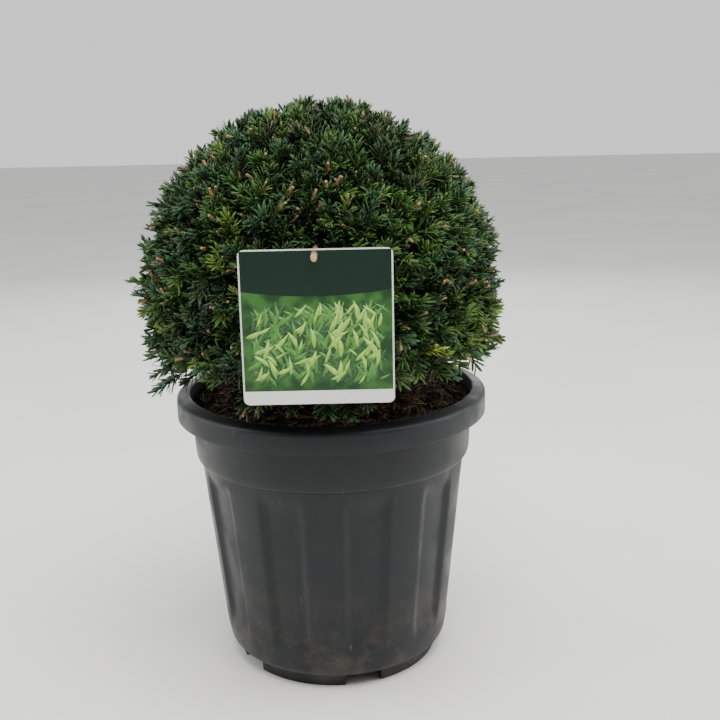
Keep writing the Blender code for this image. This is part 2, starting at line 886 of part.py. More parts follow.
def main():
    """Build the whole plant."""
    clear_scene()
    stand = bpy.data.objects.new("pot_axis", None)
    stand.location = POT_AXIS
    bpy.context.scene.collection.objects.link(stand)

    plastic = make_material("pot_plastic", (0.028, 0.031, 0.034), 0.42)
    earth = make_material("potting_soil", (0.045, 0.030, 0.020), 0.95)
    bark = make_material("bark", (0.150, 0.085, 0.050), 0.85)
    cut_wood = make_material("cut_wood", (0.480, 0.320, 0.180), 0.75)
    needles = make_material("needles", (0.022, 0.060, 0.016), 0.45)
    card = make_material("printed_card", (0.100, 0.300, 0.060), 0.35)

    build_pot(plastic, stand)
    build_soil(earth, stand)
    build_trunk(bark, stand)
    cells, hub = crown_cells()
    build_boughs(cells, hub, bark, stand)
    masses = build_masses(cells, hub, needles, stand)
    build_label(card, stand)
    build_twig(masses[0], cut_wood, stand)


main()
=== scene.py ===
import logging
import math
from dataclasses import dataclass, field
from enum import Enum

import bpy
import numpy as np
from mathutils import Matrix, Vector


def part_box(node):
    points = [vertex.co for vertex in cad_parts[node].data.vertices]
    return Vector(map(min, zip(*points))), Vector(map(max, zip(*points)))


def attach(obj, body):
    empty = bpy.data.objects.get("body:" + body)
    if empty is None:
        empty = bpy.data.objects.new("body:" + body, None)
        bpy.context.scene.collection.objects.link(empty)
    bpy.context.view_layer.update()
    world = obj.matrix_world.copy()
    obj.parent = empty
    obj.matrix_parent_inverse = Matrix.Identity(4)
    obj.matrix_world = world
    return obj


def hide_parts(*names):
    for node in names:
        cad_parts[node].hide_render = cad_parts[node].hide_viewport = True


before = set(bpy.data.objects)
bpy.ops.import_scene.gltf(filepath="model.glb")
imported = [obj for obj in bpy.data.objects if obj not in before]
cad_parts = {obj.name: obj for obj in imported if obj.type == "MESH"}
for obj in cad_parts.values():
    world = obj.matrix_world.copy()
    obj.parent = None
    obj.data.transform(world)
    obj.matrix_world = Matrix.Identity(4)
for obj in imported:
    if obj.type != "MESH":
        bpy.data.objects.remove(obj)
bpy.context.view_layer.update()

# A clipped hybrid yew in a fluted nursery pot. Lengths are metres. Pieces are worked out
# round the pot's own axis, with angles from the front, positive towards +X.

LOG = logging.getLogger("yew")
Array = np.ndarray
SEED = 20260
UP = np.array([0.0, 0.0, 1.0])
GOLDEN = math.pi * (3 - math.sqrt(5))
SIDE_NAMES = ("front", "front_right", "back_right", "back", "back_left", "front_left")
MASSES = tuple("mass_" + name for name in SIDE_NAMES) + ("mass_top",)
BOUGHS = tuple("bough_" + name for name in SIDE_NAMES)


def pot_axis() -> Array:
    """Point on the floor that the pot's axis stands on, read from the frame."""
    low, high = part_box("pot")
    return np.array([(low.x + high.x) / 2, (low.y + high.y) / 2, 0.0])


AXIS = pot_axis()


def unit(vectors: Array) -> Array:
    """Vectors of length one, each divided by its own length."""
    return vectors / np.maximum(np.linalg.norm(vectors, axis=-1, keepdims=True), 1e-12)


def bearing(angle: Array | float, radius: Array | float, height: Array | float) -> Array:
    """Points at angles in degrees from the front: x = r sin a, y = -r cos a, z = height."""
    turn = np.radians(angle)
    parts = np.broadcast_arrays(radius * np.sin(turn), -radius * np.cos(turn), height)
    return np.stack(parts, axis=-1).astype(float)


def smooth_step(low: float, high: float, value: Array) -> Array:
    """Rise from 0 to 1 between two values by 3t squared minus 2t cubed."""
    share = np.clip((value - low) / (high - low), 0.0, 1.0)
    return share * share * (3 - 2 * share)


def ripple(points: Array, scale: float, seed: int, waves: int = 9) -> Array:
    """Smooth noise between about -1 and 1: a sum of sine waves that run in random directions.

    Args:
        points: places to read the noise at, with x, y and z last.
        scale: length of the waves.
        seed: seed of the waves' directions and phases.
        waves: how many waves are added.

    Returns:
        One value for each point.
    """
    rng = np.random.default_rng(seed)
    ways = unit(rng.normal(size=(waves, 3))) * rng.uniform(0.7, 1.5, (waves, 1))
    phases = rng.uniform(0, 2 * math.pi, waves)
    return np.sin(points @ ways.T * (2 * math.pi / scale) + phases).sum(axis=-1) / math.sqrt(waves)


@dataclass
class Shape:
    """Points and faces gathered for one mesh."""

    points: list = field(default_factory=list)
    faces: list = field(default_factory=list)
    count: int = 0

    def add(self, points: Array, faces: list) -> None:
        """Add a block of points, and faces that count from the block's first point."""
        self.points.append(points.reshape(-1, 3))
        self.faces.extend(block + self.count for block in faces)
        self.count += self.points[-1].shape[0]

    def rings(self, rows: Array) -> None:
        """Add closed rings as a skin of quads, with a fan of triangles over each end.

        Args:
            rows: points as ring, place in the ring and coordinate, anticlockwise round the way on.
        """
        steps, around = rows.shape[:2]
        near = np.arange(around)
        nearby = np.roll(near, -1)
        first = np.arange(steps - 1)[:, None] * around
        quads = np.stack([first + near, first + nearby, first + nearby + around, first + near + around], -1)
        total = steps * around
        last = total - around
        foot = np.stack([nearby, near, np.full(around, total)], -1)
        head = np.stack([near + last, nearby + last, np.full(around, total + 1)], -1)
        points = np.concatenate([rows.reshape(-1, 3), rows[0].mean(0)[None], rows[-1].mean(0)[None]])
        self.add(points, [quads.reshape(-1, 4), foot, head])

    def mesh(self, name: str) -> bpy.types.Mesh:
        """Return the mesh, moved from the pot's axis to its place in the frame."""
        points = np.concatenate(self.points) + AXIS
        loops = np.concatenate([block.ravel() for block in self.faces]).astype(np.int32)
        sizes = np.concatenate([np.full(len(block), block.shape[1]) for block in self.faces])
        starts = np.concatenate([[0], np.cumsum(sizes)[:-1]]).astype(np.int32)
        mesh = bpy.data.meshes.new(name)
        mesh.vertices.add(len(points))
        mesh.vertices.foreach_set("co", points.astype(np.float32).ravel())
        mesh.loops.add(len(loops))
        mesh.loops.foreach_set("vertex_index", loops)
        mesh.polygons.add(len(sizes))
        mesh.polygons.foreach_set("loop_start", starts)
        mesh.update(calc_edges=True)
        mesh.validate()
        return mesh


def new_piece(
    name: str,
    shape: Shape,
    material: bpy.types.Material,
    nodes: tuple = (),
    smooth: float | None = None,
) -> None:
    """Make a finished piece that rides on the plant's one body.

    Args:
        name: the piece's name.
        shape: its points and faces, round the pot's axis.
        material: its finish.
        nodes: the CAD nodes that it stands for.
        smooth: edge angle in degrees up to which it is shaded smooth, or None for flat faces.
    """
    mesh = shape.mesh(name)
    mesh.materials.append(material)
    if smooth is not None:
        mesh.shade_smooth()
        mesh.set_sharp_from_angle(angle=math.radians(smooth))
    piece = bpy.data.objects.new(name, mesh)
    bpy.context.scene.collection.objects.link(piece)
    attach(piece, "root")
    if nodes:
        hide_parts(*nodes)
    LOG.info("%s: %d faces", name, len(mesh.polygons))


def twig_bundle(
    start: Array, end: Array, sag: Array, thick: Array, thin: Array, sides: int, steps: int
) -> tuple:
    """Many tapering twigs at once, each a tube along a bowed line.

    A point of the line is start + way t + sag 4t(1 - t), and the radius runs evenly from
    thick to thin. A ring's points stand at even angles round the way from start to end.

    Args:
        start: first points.
        end: last points.
        sag: how far each line's middle is bowed.
        thick: radius at the start of each.
        thin: radius at the end of each.
        sides: points in a ring.
        steps: stretches along a twig.

    Returns:
        The points, and the faces as blocks of quads and end caps.
    """
    count = len(start)
    share = np.linspace(0, 1, steps + 1)
    way = end - start
    line = start[:, None] + way[:, None] * share[:, None] + sag[:, None] * (4 * share * (1 - share))[:, None]
    ahead = unit(way)
    helper = np.where(np.abs(ahead[:, 2:]) > 0.9, np.array([1.0, 0, 0]), UP)
    across = unit(np.cross(ahead, helper))
    over = np.cross(ahead, across)
    turn = 2 * math.pi * np.arange(sides) / sides
    ring = across[:, None] * np.cos(turn)[:, None] + over[:, None] * np.sin(turn)[:, None]
    radius = thick[:, None] + (thin - thick)[:, None] * share
    points = line[:, :, None] + ring[:, None] * radius[:, :, None, None]
    base = (np.arange(count) * (steps + 1) * sides)[:, None, None]
    first = base + (np.arange(steps) * sides)[None, :, None]
    near = np.arange(sides)
    nearby = np.roll(near, -1)
    quads = np.stack([first + near, first + nearby, first + nearby + sides, first + near + sides], -1)
    foot = base[:, 0] + near[::-1]
    head = base[:, 0] + steps * sides + near
    return points, [quads.reshape(-1, 4), foot, head]


def needle_bundle(
    base: Array, way: Array, facing: Array, length: Array, width: Array, curl: Array
) -> tuple:
    """Many flat needles at once, each with a low rib, parallel sides and a point.

    A needle has a point at its foot, three-sided rings at two shares of its length and a
    point at its tip. Its middle line bends along its facing by curl t squared.

    Args:
        base: points that the needles stand on.
        way: directions that they run in.
        facing: directions that their upper sides turn to.
        length: length of each.
        width: width of each.
        curl: how far each tip bends.

    Returns:
        The points, and the faces as blocks.
    """
    facing = unit(facing - way * (facing * way).sum(-1, keepdims=True))
    across = np.cross(way, facing)
    columns = []
    half = (width / 2)[:, None]
    for share, swell in ((0.0, 0.0), (0.16, 0.86), (0.76, 1.0), (1.0, 0.0)):
        middle = base + way * (length * share)[:, None] + facing * (curl * share * share)[:, None]
        if swell == 0.0:
            columns.append(middle)
        else:
            columns.append(middle - across * half * swell)
            columns.append(middle + facing * half * 0.42)
            columns.append(middle + across * half * swell)
    points = np.stack(columns, axis=1)
    first = (np.arange(len(base)) * 8)[:, None]
    ends = np.array([[0, 2, 1], [0, 3, 2], [0, 1, 3], [4, 5, 7], [5, 6, 7], [6, 4, 7]])
    sides = np.array([[1, 2, 5, 4], [2, 3, 6, 5], [3, 1, 4, 6]])
    return points, [(first[:, None] + ends).reshape(-1, 3), (first[:, None] + sides).reshape(-1, 4)]


def flake_bundle(centre: Array, way: Array, facing: Array, size: Array) -> tuple:
    """Many small wedges at once, such as bark chips: blocks that are narrower on top.

    Args:
        centre: middle of each.
        way: direction of each one's length.
        facing: direction of each one's upper side.
        size: length, width and thickness of each.

    Returns:
        The points, and the faces as one block.
    """
    facing = unit(facing - way * (facing * way).sum(-1, keepdims=True))
    across = np.cross(facing, way)
    corners = []
    for high, draw in ((-0.5, 1.0), (0.5, 0.72)):
        for along, aside in ((-0.5, -0.5), (0.5, -0.4), (0.5, 0.5), (-0.42, 0.5)):
            corner = centre + way * size[:, :1] * along * draw + across * size[:, 1:2] * aside * draw
            corners.append(corner + facing * size[:, 2:] * high)
    points = np.stack(corners, axis=1)
    faces = np.array([[3, 2, 1, 0], [4, 5, 6, 7], [0, 1, 5, 4], [1, 2, 6, 5], [2, 3, 7, 6], [3, 0, 4, 7]])
    first = (np.arange(len(centre)) * 8)[:, None, None]
    return points, [(first + faces).reshape(-1, 4)]


class NodeBoard:
    """A node tree with short calls for the nodes that the finishes use."""

    def __init__(self, tree: bpy.types.NodeTree) -> None:
        """Keep the tree."""
        self.tree = tree

    def node(self, kind: str, **settings: object) -> bpy.types.Node:
        """Add a node and set its properties."""
        made = self.tree.nodes.new(kind)
        for name, value in settings.items():
            setattr(made, name, value)
        return made

    def join(self, source: bpy.types.NodeSocket, target: bpy.types.NodeSocket) -> None:
        """Link an output to an input."""
        self.tree.links.new(source, target)

    def put(self, value: object, target: bpy.types.NodeSocket) -> None:
        """Link a socket, or set a plain value."""
        if isinstance(value, bpy.types.NodeSocket):
            self.join(value, target)
        else:
            target.default_value = value

    def math(self, kind: str, first: object, second: object = 0.0) -> object:
        """Return a Math node's output."""
        made = self.node("ShaderNodeMath", operation=kind)
        self.put(first, made.inputs[0])
        self.put(second, made.inputs[1])
        return made.outputs[0]

    def noise(self, where: object, scale: float, detail: float = 3.0, rough: float = 0.55) -> object:
        """Return a Noise Texture's value."""
        made = self.node("ShaderNodeTexNoise")
        self.put(where, made.inputs["Vector"])
        made.inputs["Scale"].default_value = scale
        made.inputs["Detail"].default_value = detail
        made.inputs["Roughness"].default_value = rough
        return made.outputs["Fac"]

    def span(self, value: object, low: float, high: float, to_low: float, to_high: float) -> object:
        """Return a value mapped from one range to another, held inside the second."""
        made = self.node("ShaderNodeMapRange", interpolation_type="SMOOTHSTEP")
        self.put(value, made.inputs["Value"])
        for name, number in (("From Min", low), ("From Max", high), ("To Min", to_low), ("To Max", to_high)):
            made.inputs[name].default_value = number
        return made.outputs["Result"]

    def mix(self, share: object, first: object, second: object) -> object:
        """Return two colours mixed by a share."""
        made = self.node("ShaderNodeMix", data_type="RGBA", clamp_factor=True)
        self.put(share, made.inputs[0])
        self.put(rgba(first), made.inputs[6])
        self.put(rgba(second), made.inputs[7])
        return made.outputs[2]


def rgba(colour: object) -> object:
    """Return a plain colour with its alpha, or a socket as it is."""
    if isinstance(colour, bpy.types.NodeSocket):
        return colour
    return (*colour, 1.0)


def mottle_group() -> bpy.types.NodeTree:
    """Shader group that varies a colour and gives a bump height, from two sizes of noise.

    Returns:
        The group: Vector, Colour, Second and Scale in; Colour, Height and Mask out.
    """
    name = "mottle"
    if name in bpy.data.node_groups:
        return bpy.data.node_groups[name]
    tree = bpy.data.node_groups.new(name, "ShaderNodeTree")
    sockets = (
        ("Vector", "INPUT", "Vector"), ("Colour", "INPUT", "Color"), ("Second", "INPUT", "Color"),
        ("Scale", "INPUT", "Float"), ("Colour", "OUTPUT", "Color"), ("Height", "OUTPUT", "Float"),
        ("Mask", "OUTPUT", "Float"),
    )
    for title, side, kind in sockets:
        tree.interface.new_socket(title, in_out=side, socket_type="NodeSocket" + kind)
    board = NodeBoard(tree)
    entry = board.node("NodeGroupInput")
    leave = board.node("NodeGroupOutput")
    coarse = board.node("ShaderNodeTexNoise")
    fine = board.node("ShaderNodeTexNoise")
    for made, factor in ((coarse, 1.0), (fine, 7.0)):
        board.join(entry.outputs["Vector"], made.inputs["Vector"])
        board.join(board.math("MULTIPLY", entry.outputs["Scale"], factor), made.inputs["Scale"])
        made.inputs["Detail"].default_value = 4.0
    mask = board.span(coarse.outputs["Fac"], 0.36, 0.66, 0.0, 1.0)
    colour = board.mix(mask, entry.outputs["Colour"], entry.outputs["Second"])
    height = board.math("ADD", coarse.outputs["Fac"], board.math("MULTIPLY", fine.outputs["Fac"], 0.5))
    board.join(colour, leave.inputs["Colour"])
    board.join(height, leave.inputs["Height"])
    board.join(mask, leave.inputs["Mask"])
    return tree


@dataclass(frozen=True)
class Finish:
    """A surface that varies between two colours, with a roughness range and a fine bump."""

    name: str
    colour: tuple
    second: tuple
    scale: float
    rough: tuple = (0.4, 0.6)
    bump: float = 0.2
    relief: float = 0.0005
    specular: float = 0.5

    def start(self) -> tuple:
        """Make the material with its mottle, roughness and bump.

        Returns:
            The material, its board, the shader, the object coordinates and the mottle node.
        """
        material = bpy.data.materials.new(self.name)
        material.use_nodes = True
        board = NodeBoard(material.node_tree)
        shader = material.node_tree.nodes["Principled BSDF"]
        where = board.node("ShaderNodeTexCoord").outputs["Object"]
        mottle = board.node("ShaderNodeGroup", node_tree=mottle_group())
        board.join(where, mottle.inputs["Vector"])
        mottle.inputs["Colour"].default_value = rgba(self.colour)
        mottle.inputs["Second"].default_value = rgba(self.second)
        mottle.inputs["Scale"].default_value = self.scale
        board.join(mottle.outputs["Colour"], shader.inputs["Base Color"])
        rough = board.span(mottle.outputs["Mask"], 0.0, 1.0, *self.rough)
        board.join(rough, shader.inputs["Roughness"])
        shader.inputs["Specular IOR Level"].default_value = self.specular
        raise_node = board.node("ShaderNodeBump")
        raise_node.inputs["Strength"].default_value = self.bump
        raise_node.inputs["Distance"].default_value = self.relief
        board.join(mottle.outputs["Height"], raise_node.inputs["Height"])
        board.join(raise_node.outputs["Normal"], shader.inputs["Normal"])
        return material, board, shader, where, mottle

    def make(self) -> bpy.types.Material:
        """Return the finished material."""
        return self.start()[0]


@dataclass(frozen=True)
class PotPlastic(Finish):
    """Moulded charcoal plastic with brown dust low down, pale scuffs and tiny specks."""

    dust: tuple = (0.115, 0.090, 0.066)
    dust_low: float = 0.01
    dust_high: float = 0.13
    dust_share: tuple = (0.36, 0.02)
    dust_patch: float = 34.0
    scuff: tuple = (0.30, 0.28, 0.25)
    scratch_scale: float = 210.0
    scratch_stretch: float = 0.18
    scratch_share: float = 0.16
    speck_scale: float = 70.0
    speck_radii: tuple = (0.020, 0.045)
    speck_share: float = 0.6
    speck_patch: float = 14.0

    def make(self) -> bpy.types.Material:
        """Return the plastic with its dust, scuffs and specks mixed over the colour."""
        material, board, shader, where, mottle = self.start()
        apart = board.node("ShaderNodeSeparateXYZ")
        board.join(where, apart.inputs[0])
        low = board.span(apart.outputs["Z"], self.dust_low, self.dust_high, *self.dust_share)
        patches = board.span(board.noise(where, self.dust_patch, 6.0, 0.7), 0.42, 0.68, 0.0, 1.0)
        share = board.math("MULTIPLY", low, patches)
        colour = board.mix(share, mottle.outputs["Colour"], self.dust)
        stretch = board.node("ShaderNodeMapping")
        stretch.inputs["Scale"].default_value = (1.0, 1.0, self.scratch_stretch)
        board.join(where, stretch.inputs["Vector"])
        streaks = board.noise(stretch.outputs[0], self.scratch_scale, 2.0)
        scratches = board.span(streaks, 0.70, 0.80, 0.0, self.scratch_share)
        colour = board.mix(scratches, colour, self.scuff)
        specks = board.node("ShaderNodeTexVoronoi")
        board.join(where, specks.inputs["Vector"])
        specks.inputs["Scale"].default_value = self.speck_scale
        dots = board.span(specks.outputs["Distance"], *self.speck_radii, self.speck_share, 0.0)
        dotted = board.span(board.noise(where, self.speck_patch), 0.52, 0.62, 0.0, 1.0)
        dots = board.math("MULTIPLY", dots, dotted)
        colour = board.mix(dots, colour, self.scuff)
        board.join(colour, shader.inputs["Base Color"])
        return material


@dataclass(frozen=True)
class CardPrint(Finish):
    """Printed card: a dark curved header, a leafy ground, a bare strip and a thin white edge."""

    header: tuple = (0.0030, 0.0200, 0.0100)
    ground: tuple = (0.012, 0.050, 0.012)
    ground_light: tuple = (0.045, 0.150, 0.030)
    edge: float = 0.0012
    strip_share: float = 0.090
    header_share: float = 0.300
    bow: float = 0.0050
    blend: float = 0.0002
    header_blend: float = 0.0003
    ground_scale: float = 60.0

    def make(self) -> bpy.types.Material:
        """Return the print, placed by the card's own box in object coordinates."""
        material, board, shader, where, mottle = self.start()
        low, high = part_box("label_card")
        apart = board.node("ShaderNodeSeparateXYZ")
        board.join(where, apart.inputs[0])
        x = apart.outputs["X"]
        z = apart.outputs["Z"]
        half = (high.x - low.x) / 2
        tall = high.z - low.z
        aside = board.math("ABSOLUTE", board.math("SUBTRACT", x, low.x + half))
        in_sides = board.span(aside, half - self.edge - self.blend, half - self.edge, 1.0, 0.0)
        in_top = board.span(z, high.z - self.edge, high.z - self.edge + self.blend, 1.0, 0.0)
        strip = low.z + tall * self.strip_share
        over_strip = board.span(z, strip - self.blend, strip, 0.0, 1.0)
        picture = board.math("MULTIPLY", board.math("MULTIPLY", in_sides, in_top), over_strip)
        bowed = board.math("POWER", board.math("DIVIDE", aside, half), 2.0)
        edge_line = board.math("MULTIPLY", bowed, self.bow)
        line = board.math("ADD", edge_line, high.z - tall * self.header_share)
        above = board.math("SUBTRACT", z, line)
        in_header = board.span(above, 0.0, self.header_blend, 0.0, 1.0)
        blur = board.noise(where, self.ground_scale, 2.0)
        ground = board.mix(board.span(blur, 0.35, 0.65, 0.0, 1.0), self.ground, self.ground_light)
        inside = board.mix(in_header, ground, self.header)
        colour = board.mix(picture, mottle.outputs["Colour"], inside)
        board.join(colour, shader.inputs["Base Color"])
        return material


class Tone(Enum):
    """The foliage's colours, dealt out by spray; the deepest green also stands in as painted shade on every
    inner shoot.
    """

    DEEP_AND_SHADE = Finish("needle_deep_and_shade", (0.012, 0.036, 0.008), (0.019, 0.052, 0.010), 60.0, rough=(0.36, 0.52),
                  bump=0.1, specular=0.35)
    MIDDLE = Finish("needle_middle", (0.036, 0.092, 0.014), (0.052, 0.125, 0.019), 60.0, rough=(0.36, 0.52),
                    bump=0.1, specular=0.35)
    BLUE = Finish("needle_blue", (0.022, 0.070, 0.026), (0.034, 0.095, 0.036), 60.0, rough=(0.32, 0.48),
                  bump=0.1, specular=0.4)
    FRESH = Finish("needle_fresh", (0.080, 0.150, 0.022), (0.115, 0.195, 0.030), 60.0, rough=(0.38, 0.55),
                   bump=0.1, specular=0.35)
    YOUNG = Finish("needle_young", (0.260, 0.340, 0.040), (0.380, 0.450, 0.065), 60.0, rough=(0.38, 0.55),
                   bump=0.1)


@dataclass
class NurseryPot:
    """Fluted pot: its profile is turned, pressed in by ten flutes and notched at its foot."""

    rim_r: float = 0.1548
    rim_top: float = 0.2790
    rim_low: float = 0.2552
    mouth_r: float = 0.1425
    collar_r: float = 0.1405
    collar_low_r: float = 0.1385
    collar_low: float = 0.2115
    body_r: float = 0.1334
    taper: float = 0.0993
    foot_r: float = 0.1025
    foot_high: float = 0.012
    floor_top: float = 0.0155
    flutes: int = 10
    first_flute: float = -57.0
    flute_half: float = 10.5
    flute_floor: float = 6.6
    flute_depth: float = 0.0045
    flute_ends: tuple = (0.036, 0.062, 0.188, 0.2075)
    notches: int = 5
    notch_half: float = 10.1
    wall: float = 0.0026
    lip_wall: float = 0.0022
    foot_step: float = 0.004
    longest_step: float = 0.006
    column_step: float = 1.2
    notch_edge: float = 0.12
    fluted_below: float = 0.213
    notch_lift: float = 0.0004
    notch_from: float = 0.09

    def body_at(self, height: float) -> float:
        """Radius of the tapered body: top radius less the taper times the depth below the collar."""
        return self.body_r - self.taper * (self.collar_low - height)

    def profile(self) -> Array:
        """Outline from the middle under the floor, over the rim, to the middle inside.

        Each corner is rounded by a quadratic curve that leaves its legs a set way off.

        Returns:
            Radius and height of each point.
        """
        rim = self.rim_r
        lip = rim - self.lip_wall
        foot_in = self.foot_r - self.foot_step
        under_floor = [(0.0005, 0.0130, 0.0), (foot_in, 0.0130, 0.0008)]
        foot = [
            (foot_in, 0.0, 0.0003), (self.foot_r, 0.0, 0.0006),
            (self.foot_r + 0.001, self.foot_high, 0.0004),
            (self.foot_r + 0.0048, self.foot_high + 0.0010, 0.0014),
        ]
        body = [
            (0.1128, 0.0180, 0.004), (self.body_at(0.034), 0.034, 0.006),
            (self.body_at(0.2110), 0.2110, 0.0004),
        ]
        collar = [
            (self.body_r + 0.0016, 0.2118, 0.0008), (0.1376, 0.2142, 0.0018),
            (self.collar_low_r + 0.0002, 0.2200, 0.003), (self.collar_r, self.rim_low + 0.001, 0.0006),
            (0.1430, 0.2720, 0.0008),
        ]
        turned_lip = [
            (lip, 0.2718, 0.0008), (lip, self.rim_low, 0.0003), (rim, self.rim_low, 0.0008),
            (rim, self.rim_top - 0.0042, 0.0030), (rim - 0.0035, self.rim_top - 0.0022, 0.0012),
        ]
        mouth = [
            (self.mouth_r, self.rim_top, 0.0008),
            (self.mouth_r - 0.0010, self.rim_top - 0.0012, 0.0006),
        ]
        inside = [
            (self.collar_r - self.wall, 0.2490, 0.004), (self.body_r - self.wall - 0.004, 0.2115, 0.003),
            (self.body_at(0.023) - self.wall - 0.003, 0.023, 0.003), (0.1055, self.floor_top, 0.002),
            (0.0005, self.floor_top, 0.0),
        ]
        corners = under_floor + foot + body + collar + turned_lip + mouth + inside
        points = []
        spots = np.array([corner[:2] for corner in corners])
        for index, (_, _, rounding) in enumerate(corners):
            here = spots[index]
            if rounding == 0.0:
                points.append(here)
                continue
            before = spots[index - 1] - here
            after = spots[index + 1] - here
            leave = here + before * min(0.45, rounding / np.linalg.norm(before))
            enter = here + after * min(0.45, rounding / np.linalg.norm(after))
            for share in np.linspace(0, 1, 4):
                points.append(leave * (1 - share) ** 2 + here * 2 * share * (1 - share) + enter * share ** 2)
        dense = [points[0]]
        for point in points[1:]:
            steps = max(1, int(np.linalg.norm(point - dense[-1]) / self.longest_step))
            before = dense[-1]
            for step in range(1, steps + 1):
                dense.append(before + (point - before) * step / steps)
        return np.array(dense)

    def columns(self) -> Array:
        """Angles round the pot: even steps, and a close pair at each side of every notch."""
        even = np.arange(0, 360, self.column_step)
        sides = []
        for notch in range(self.notches):
            middle = self.first_flute + notch * 360 / self.notches
            for edge in (-self.notch_half, self.notch_half):
                sides.extend([middle + edge - self.notch_edge, middle + edge + self.notch_edge])
        return np.unique(np.round(np.concatenate([even, np.array(sides) % 360]), 3))

    def surface(self) -> Shape:
        """Turn the profile: radius less flute depth, and feet cut short inside the notches."""
        profile = self.profile()
        angles = self.columns()
        radius = profile[:, :1] * np.ones(len(angles))
        height = profile[:, 1:] * np.ones(len(angles))
        pitch = 360 / self.flutes
        off = np.abs((angles - self.first_flute + pitch / 2) % pitch - pitch / 2)
        across = 1 - smooth_step(self.flute_floor, self.flute_half, off)
        low, full_low, full_high, high = self.flute_ends
        along = smooth_step(low, full_low, height) * (1 - smooth_step(full_high, high, height))
        outside = np.arange(len(profile))[:, None] < int(np.argmax(profile[:, 1] > self.fluted_below))
        radius = radius - self.flute_depth * across * along * outside
        step = 360 / self.notches
        from_notch = np.abs((angles - self.first_flute + step / 2) % step - step / 2)
        ceiling = self.foot_high - self.notch_lift
        cut = (from_notch < self.notch_half) & (height < ceiling) & (profile[:, :1] > self.notch_from)
        height = np.where(cut, ceiling, height)
        shape = Shape()
        shape.rings(bearing(angles, radius, height))
        return shape

    def build(self) -> None:
        """Make the pot's pieces."""
        finish = PotPlastic("pot_plastic", (0.0075, 0.0090, 0.0110), (0.012, 0.0135, 0.0155), 26.0,
                            rough=(0.38, 0.54), bump=0.12, relief=0.0004, specular=0.3)
        new_piece("pot_shell", self.surface(), finish.make(), ("pot",), smooth=32)


@dataclass
class PottingSoil:
    """Mound of dark potting mix with bark chips and pale fibres on it."""

    edge_r: float = 0.1386
    edge: float = 0.266
    top: float = 0.2700
    chips: int = 900
    crumbs: int = 1500
    fibres: int = 260
    side: tuple = ((0.1030, 0.0166), (0.1250, 0.2100), (0.1366, 0.2480))
    strewn: tuple = (0.026, 0.135)

    def height(self, points: Array) -> Array:
        """Height of the surface: a low mound plus two sizes of ripple."""
        flat = np.linalg.norm(points[..., :2], axis=-1)
        mound = self.edge + (self.top - self.edge) * (1 - smooth_step(0.03, self.edge_r, flat))
        level = np.zeros_like(points)
        level[..., :2] = points[..., :2]
        calm = smooth_step(0.022, 0.040, flat) * (1 - smooth_step(0.128, 0.1386, flat))
        lumps = 0.0017 * ripple(level, 0.034, 3) + 0.0009 * ripple(level, 0.011, 4)
        return mound + lumps * calm

    def surface(self) -> Shape:
        """Rings from the bottom up the side and in over the mound."""
        angles = np.arange(0, 360, 2.0)
        rows = [bearing(angles, radius, height) for radius, height in self.side]
        for radius in np.linspace(self.edge_r, 0.002, 70):
            ring = bearing(angles, radius, 0.0)
            ring[:, 2] = self.height(ring)
            rows.append(ring)
        shape = Shape()
        shape.rings(np.stack(rows))
        return shape

    def scatter(self, count: int, rng: np.random.Generator) -> Array:
        """Even random places on the mound, clear of the trunk."""
        radius = np.sqrt(rng.uniform(self.strewn[0] ** 2, self.strewn[1] ** 2, count))
        spots = bearing(rng.uniform(0, 360, count), radius, 0.0)
        spots[:, 2] = self.height(spots)
        return spots

    def build(self) -> None:
        """Make the soil, its chips, crumbs and fibres."""
        rng = np.random.default_rng(SEED + 1)
        earth = Finish("soil_dark", (0.018, 0.011, 0.007), (0.050, 0.032, 0.020), 160.0,
                       rough=(0.85, 0.98), bump=0.9, relief=0.002, specular=0.2)
        new_piece("soil_mound", self.surface(), earth.make(), ("soil",), smooth=60)
        lots = (
            ("soil_chips", self.chips, (0.004, 0.011), (0.0025, 0.005), (0.0008, 0.0020),
             Finish("soil_chip", (0.045, 0.024, 0.013), (0.120, 0.066, 0.034), 90.0,
                    rough=(0.75, 0.95), bump=0.6, relief=0.001, specular=0.25)),
            ("soil_crumbs", self.crumbs, (0.0012, 0.004), (0.0012, 0.003), (0.0010, 0.0024),
             Finish("soil_crumb", (0.022, 0.014, 0.009), (0.060, 0.040, 0.026), 120.0,
                    rough=(0.85, 0.98), bump=0.7, relief=0.001, specular=0.2)),
        )
        for name, count, long, wide, thick, finish in lots:
            spots = self.scatter(count, rng)
            size = np.stack([rng.uniform(*limits, count) for limits in (long, wide, thick)], 1)
            spots[:, 2] += size[:, 2] * 0.25
            way = unit(rng.normal(size=(count, 3)) * np.array([1, 1, 0.25]))
            facing = unit(rng.normal(size=(count, 3)) * 0.35 + UP)
            shape = Shape()
            shape.add(*flake_bundle(spots, way, facing, size))
            new_piece(name, shape, finish.make())
        start = self.scatter(self.fibres, rng)
        way = unit(rng.normal(size=(self.fibres, 3)) * np.array([1, 1, 0.15]))
        end = start + way * rng.uniform(0.006, 0.026, (self.fibres, 1))
        end[:, 2] = self.height(end) + rng.uniform(0.0005, 0.004, self.fibres)
        start[:, 2] += 0.0005
        far = np.linalg.norm(end[:, :2], axis=1) > 0.136
        end[far] = start[far] * 0.9 + np.array([0, 0, 0.0275])
        sag = rng.normal(size=(self.fibres, 3)) * 0.0016 + UP * 0.001
        thin = rng.uniform(0.00018, 0.00042, self.fibres)
        shape = Shape()
        shape.add(*twig_bundle(start, end, sag, thin, thin * 0.6, 4, 5))
        straw = Finish("soil_straw", (0.250, 0.170, 0.085), (0.420, 0.310, 0.170), 200.0,
                       rough=(0.7, 0.9), bump=0.3, specular=0.3)
        new_piece("soil_fibres", shape, straw.make(), smooth=60)


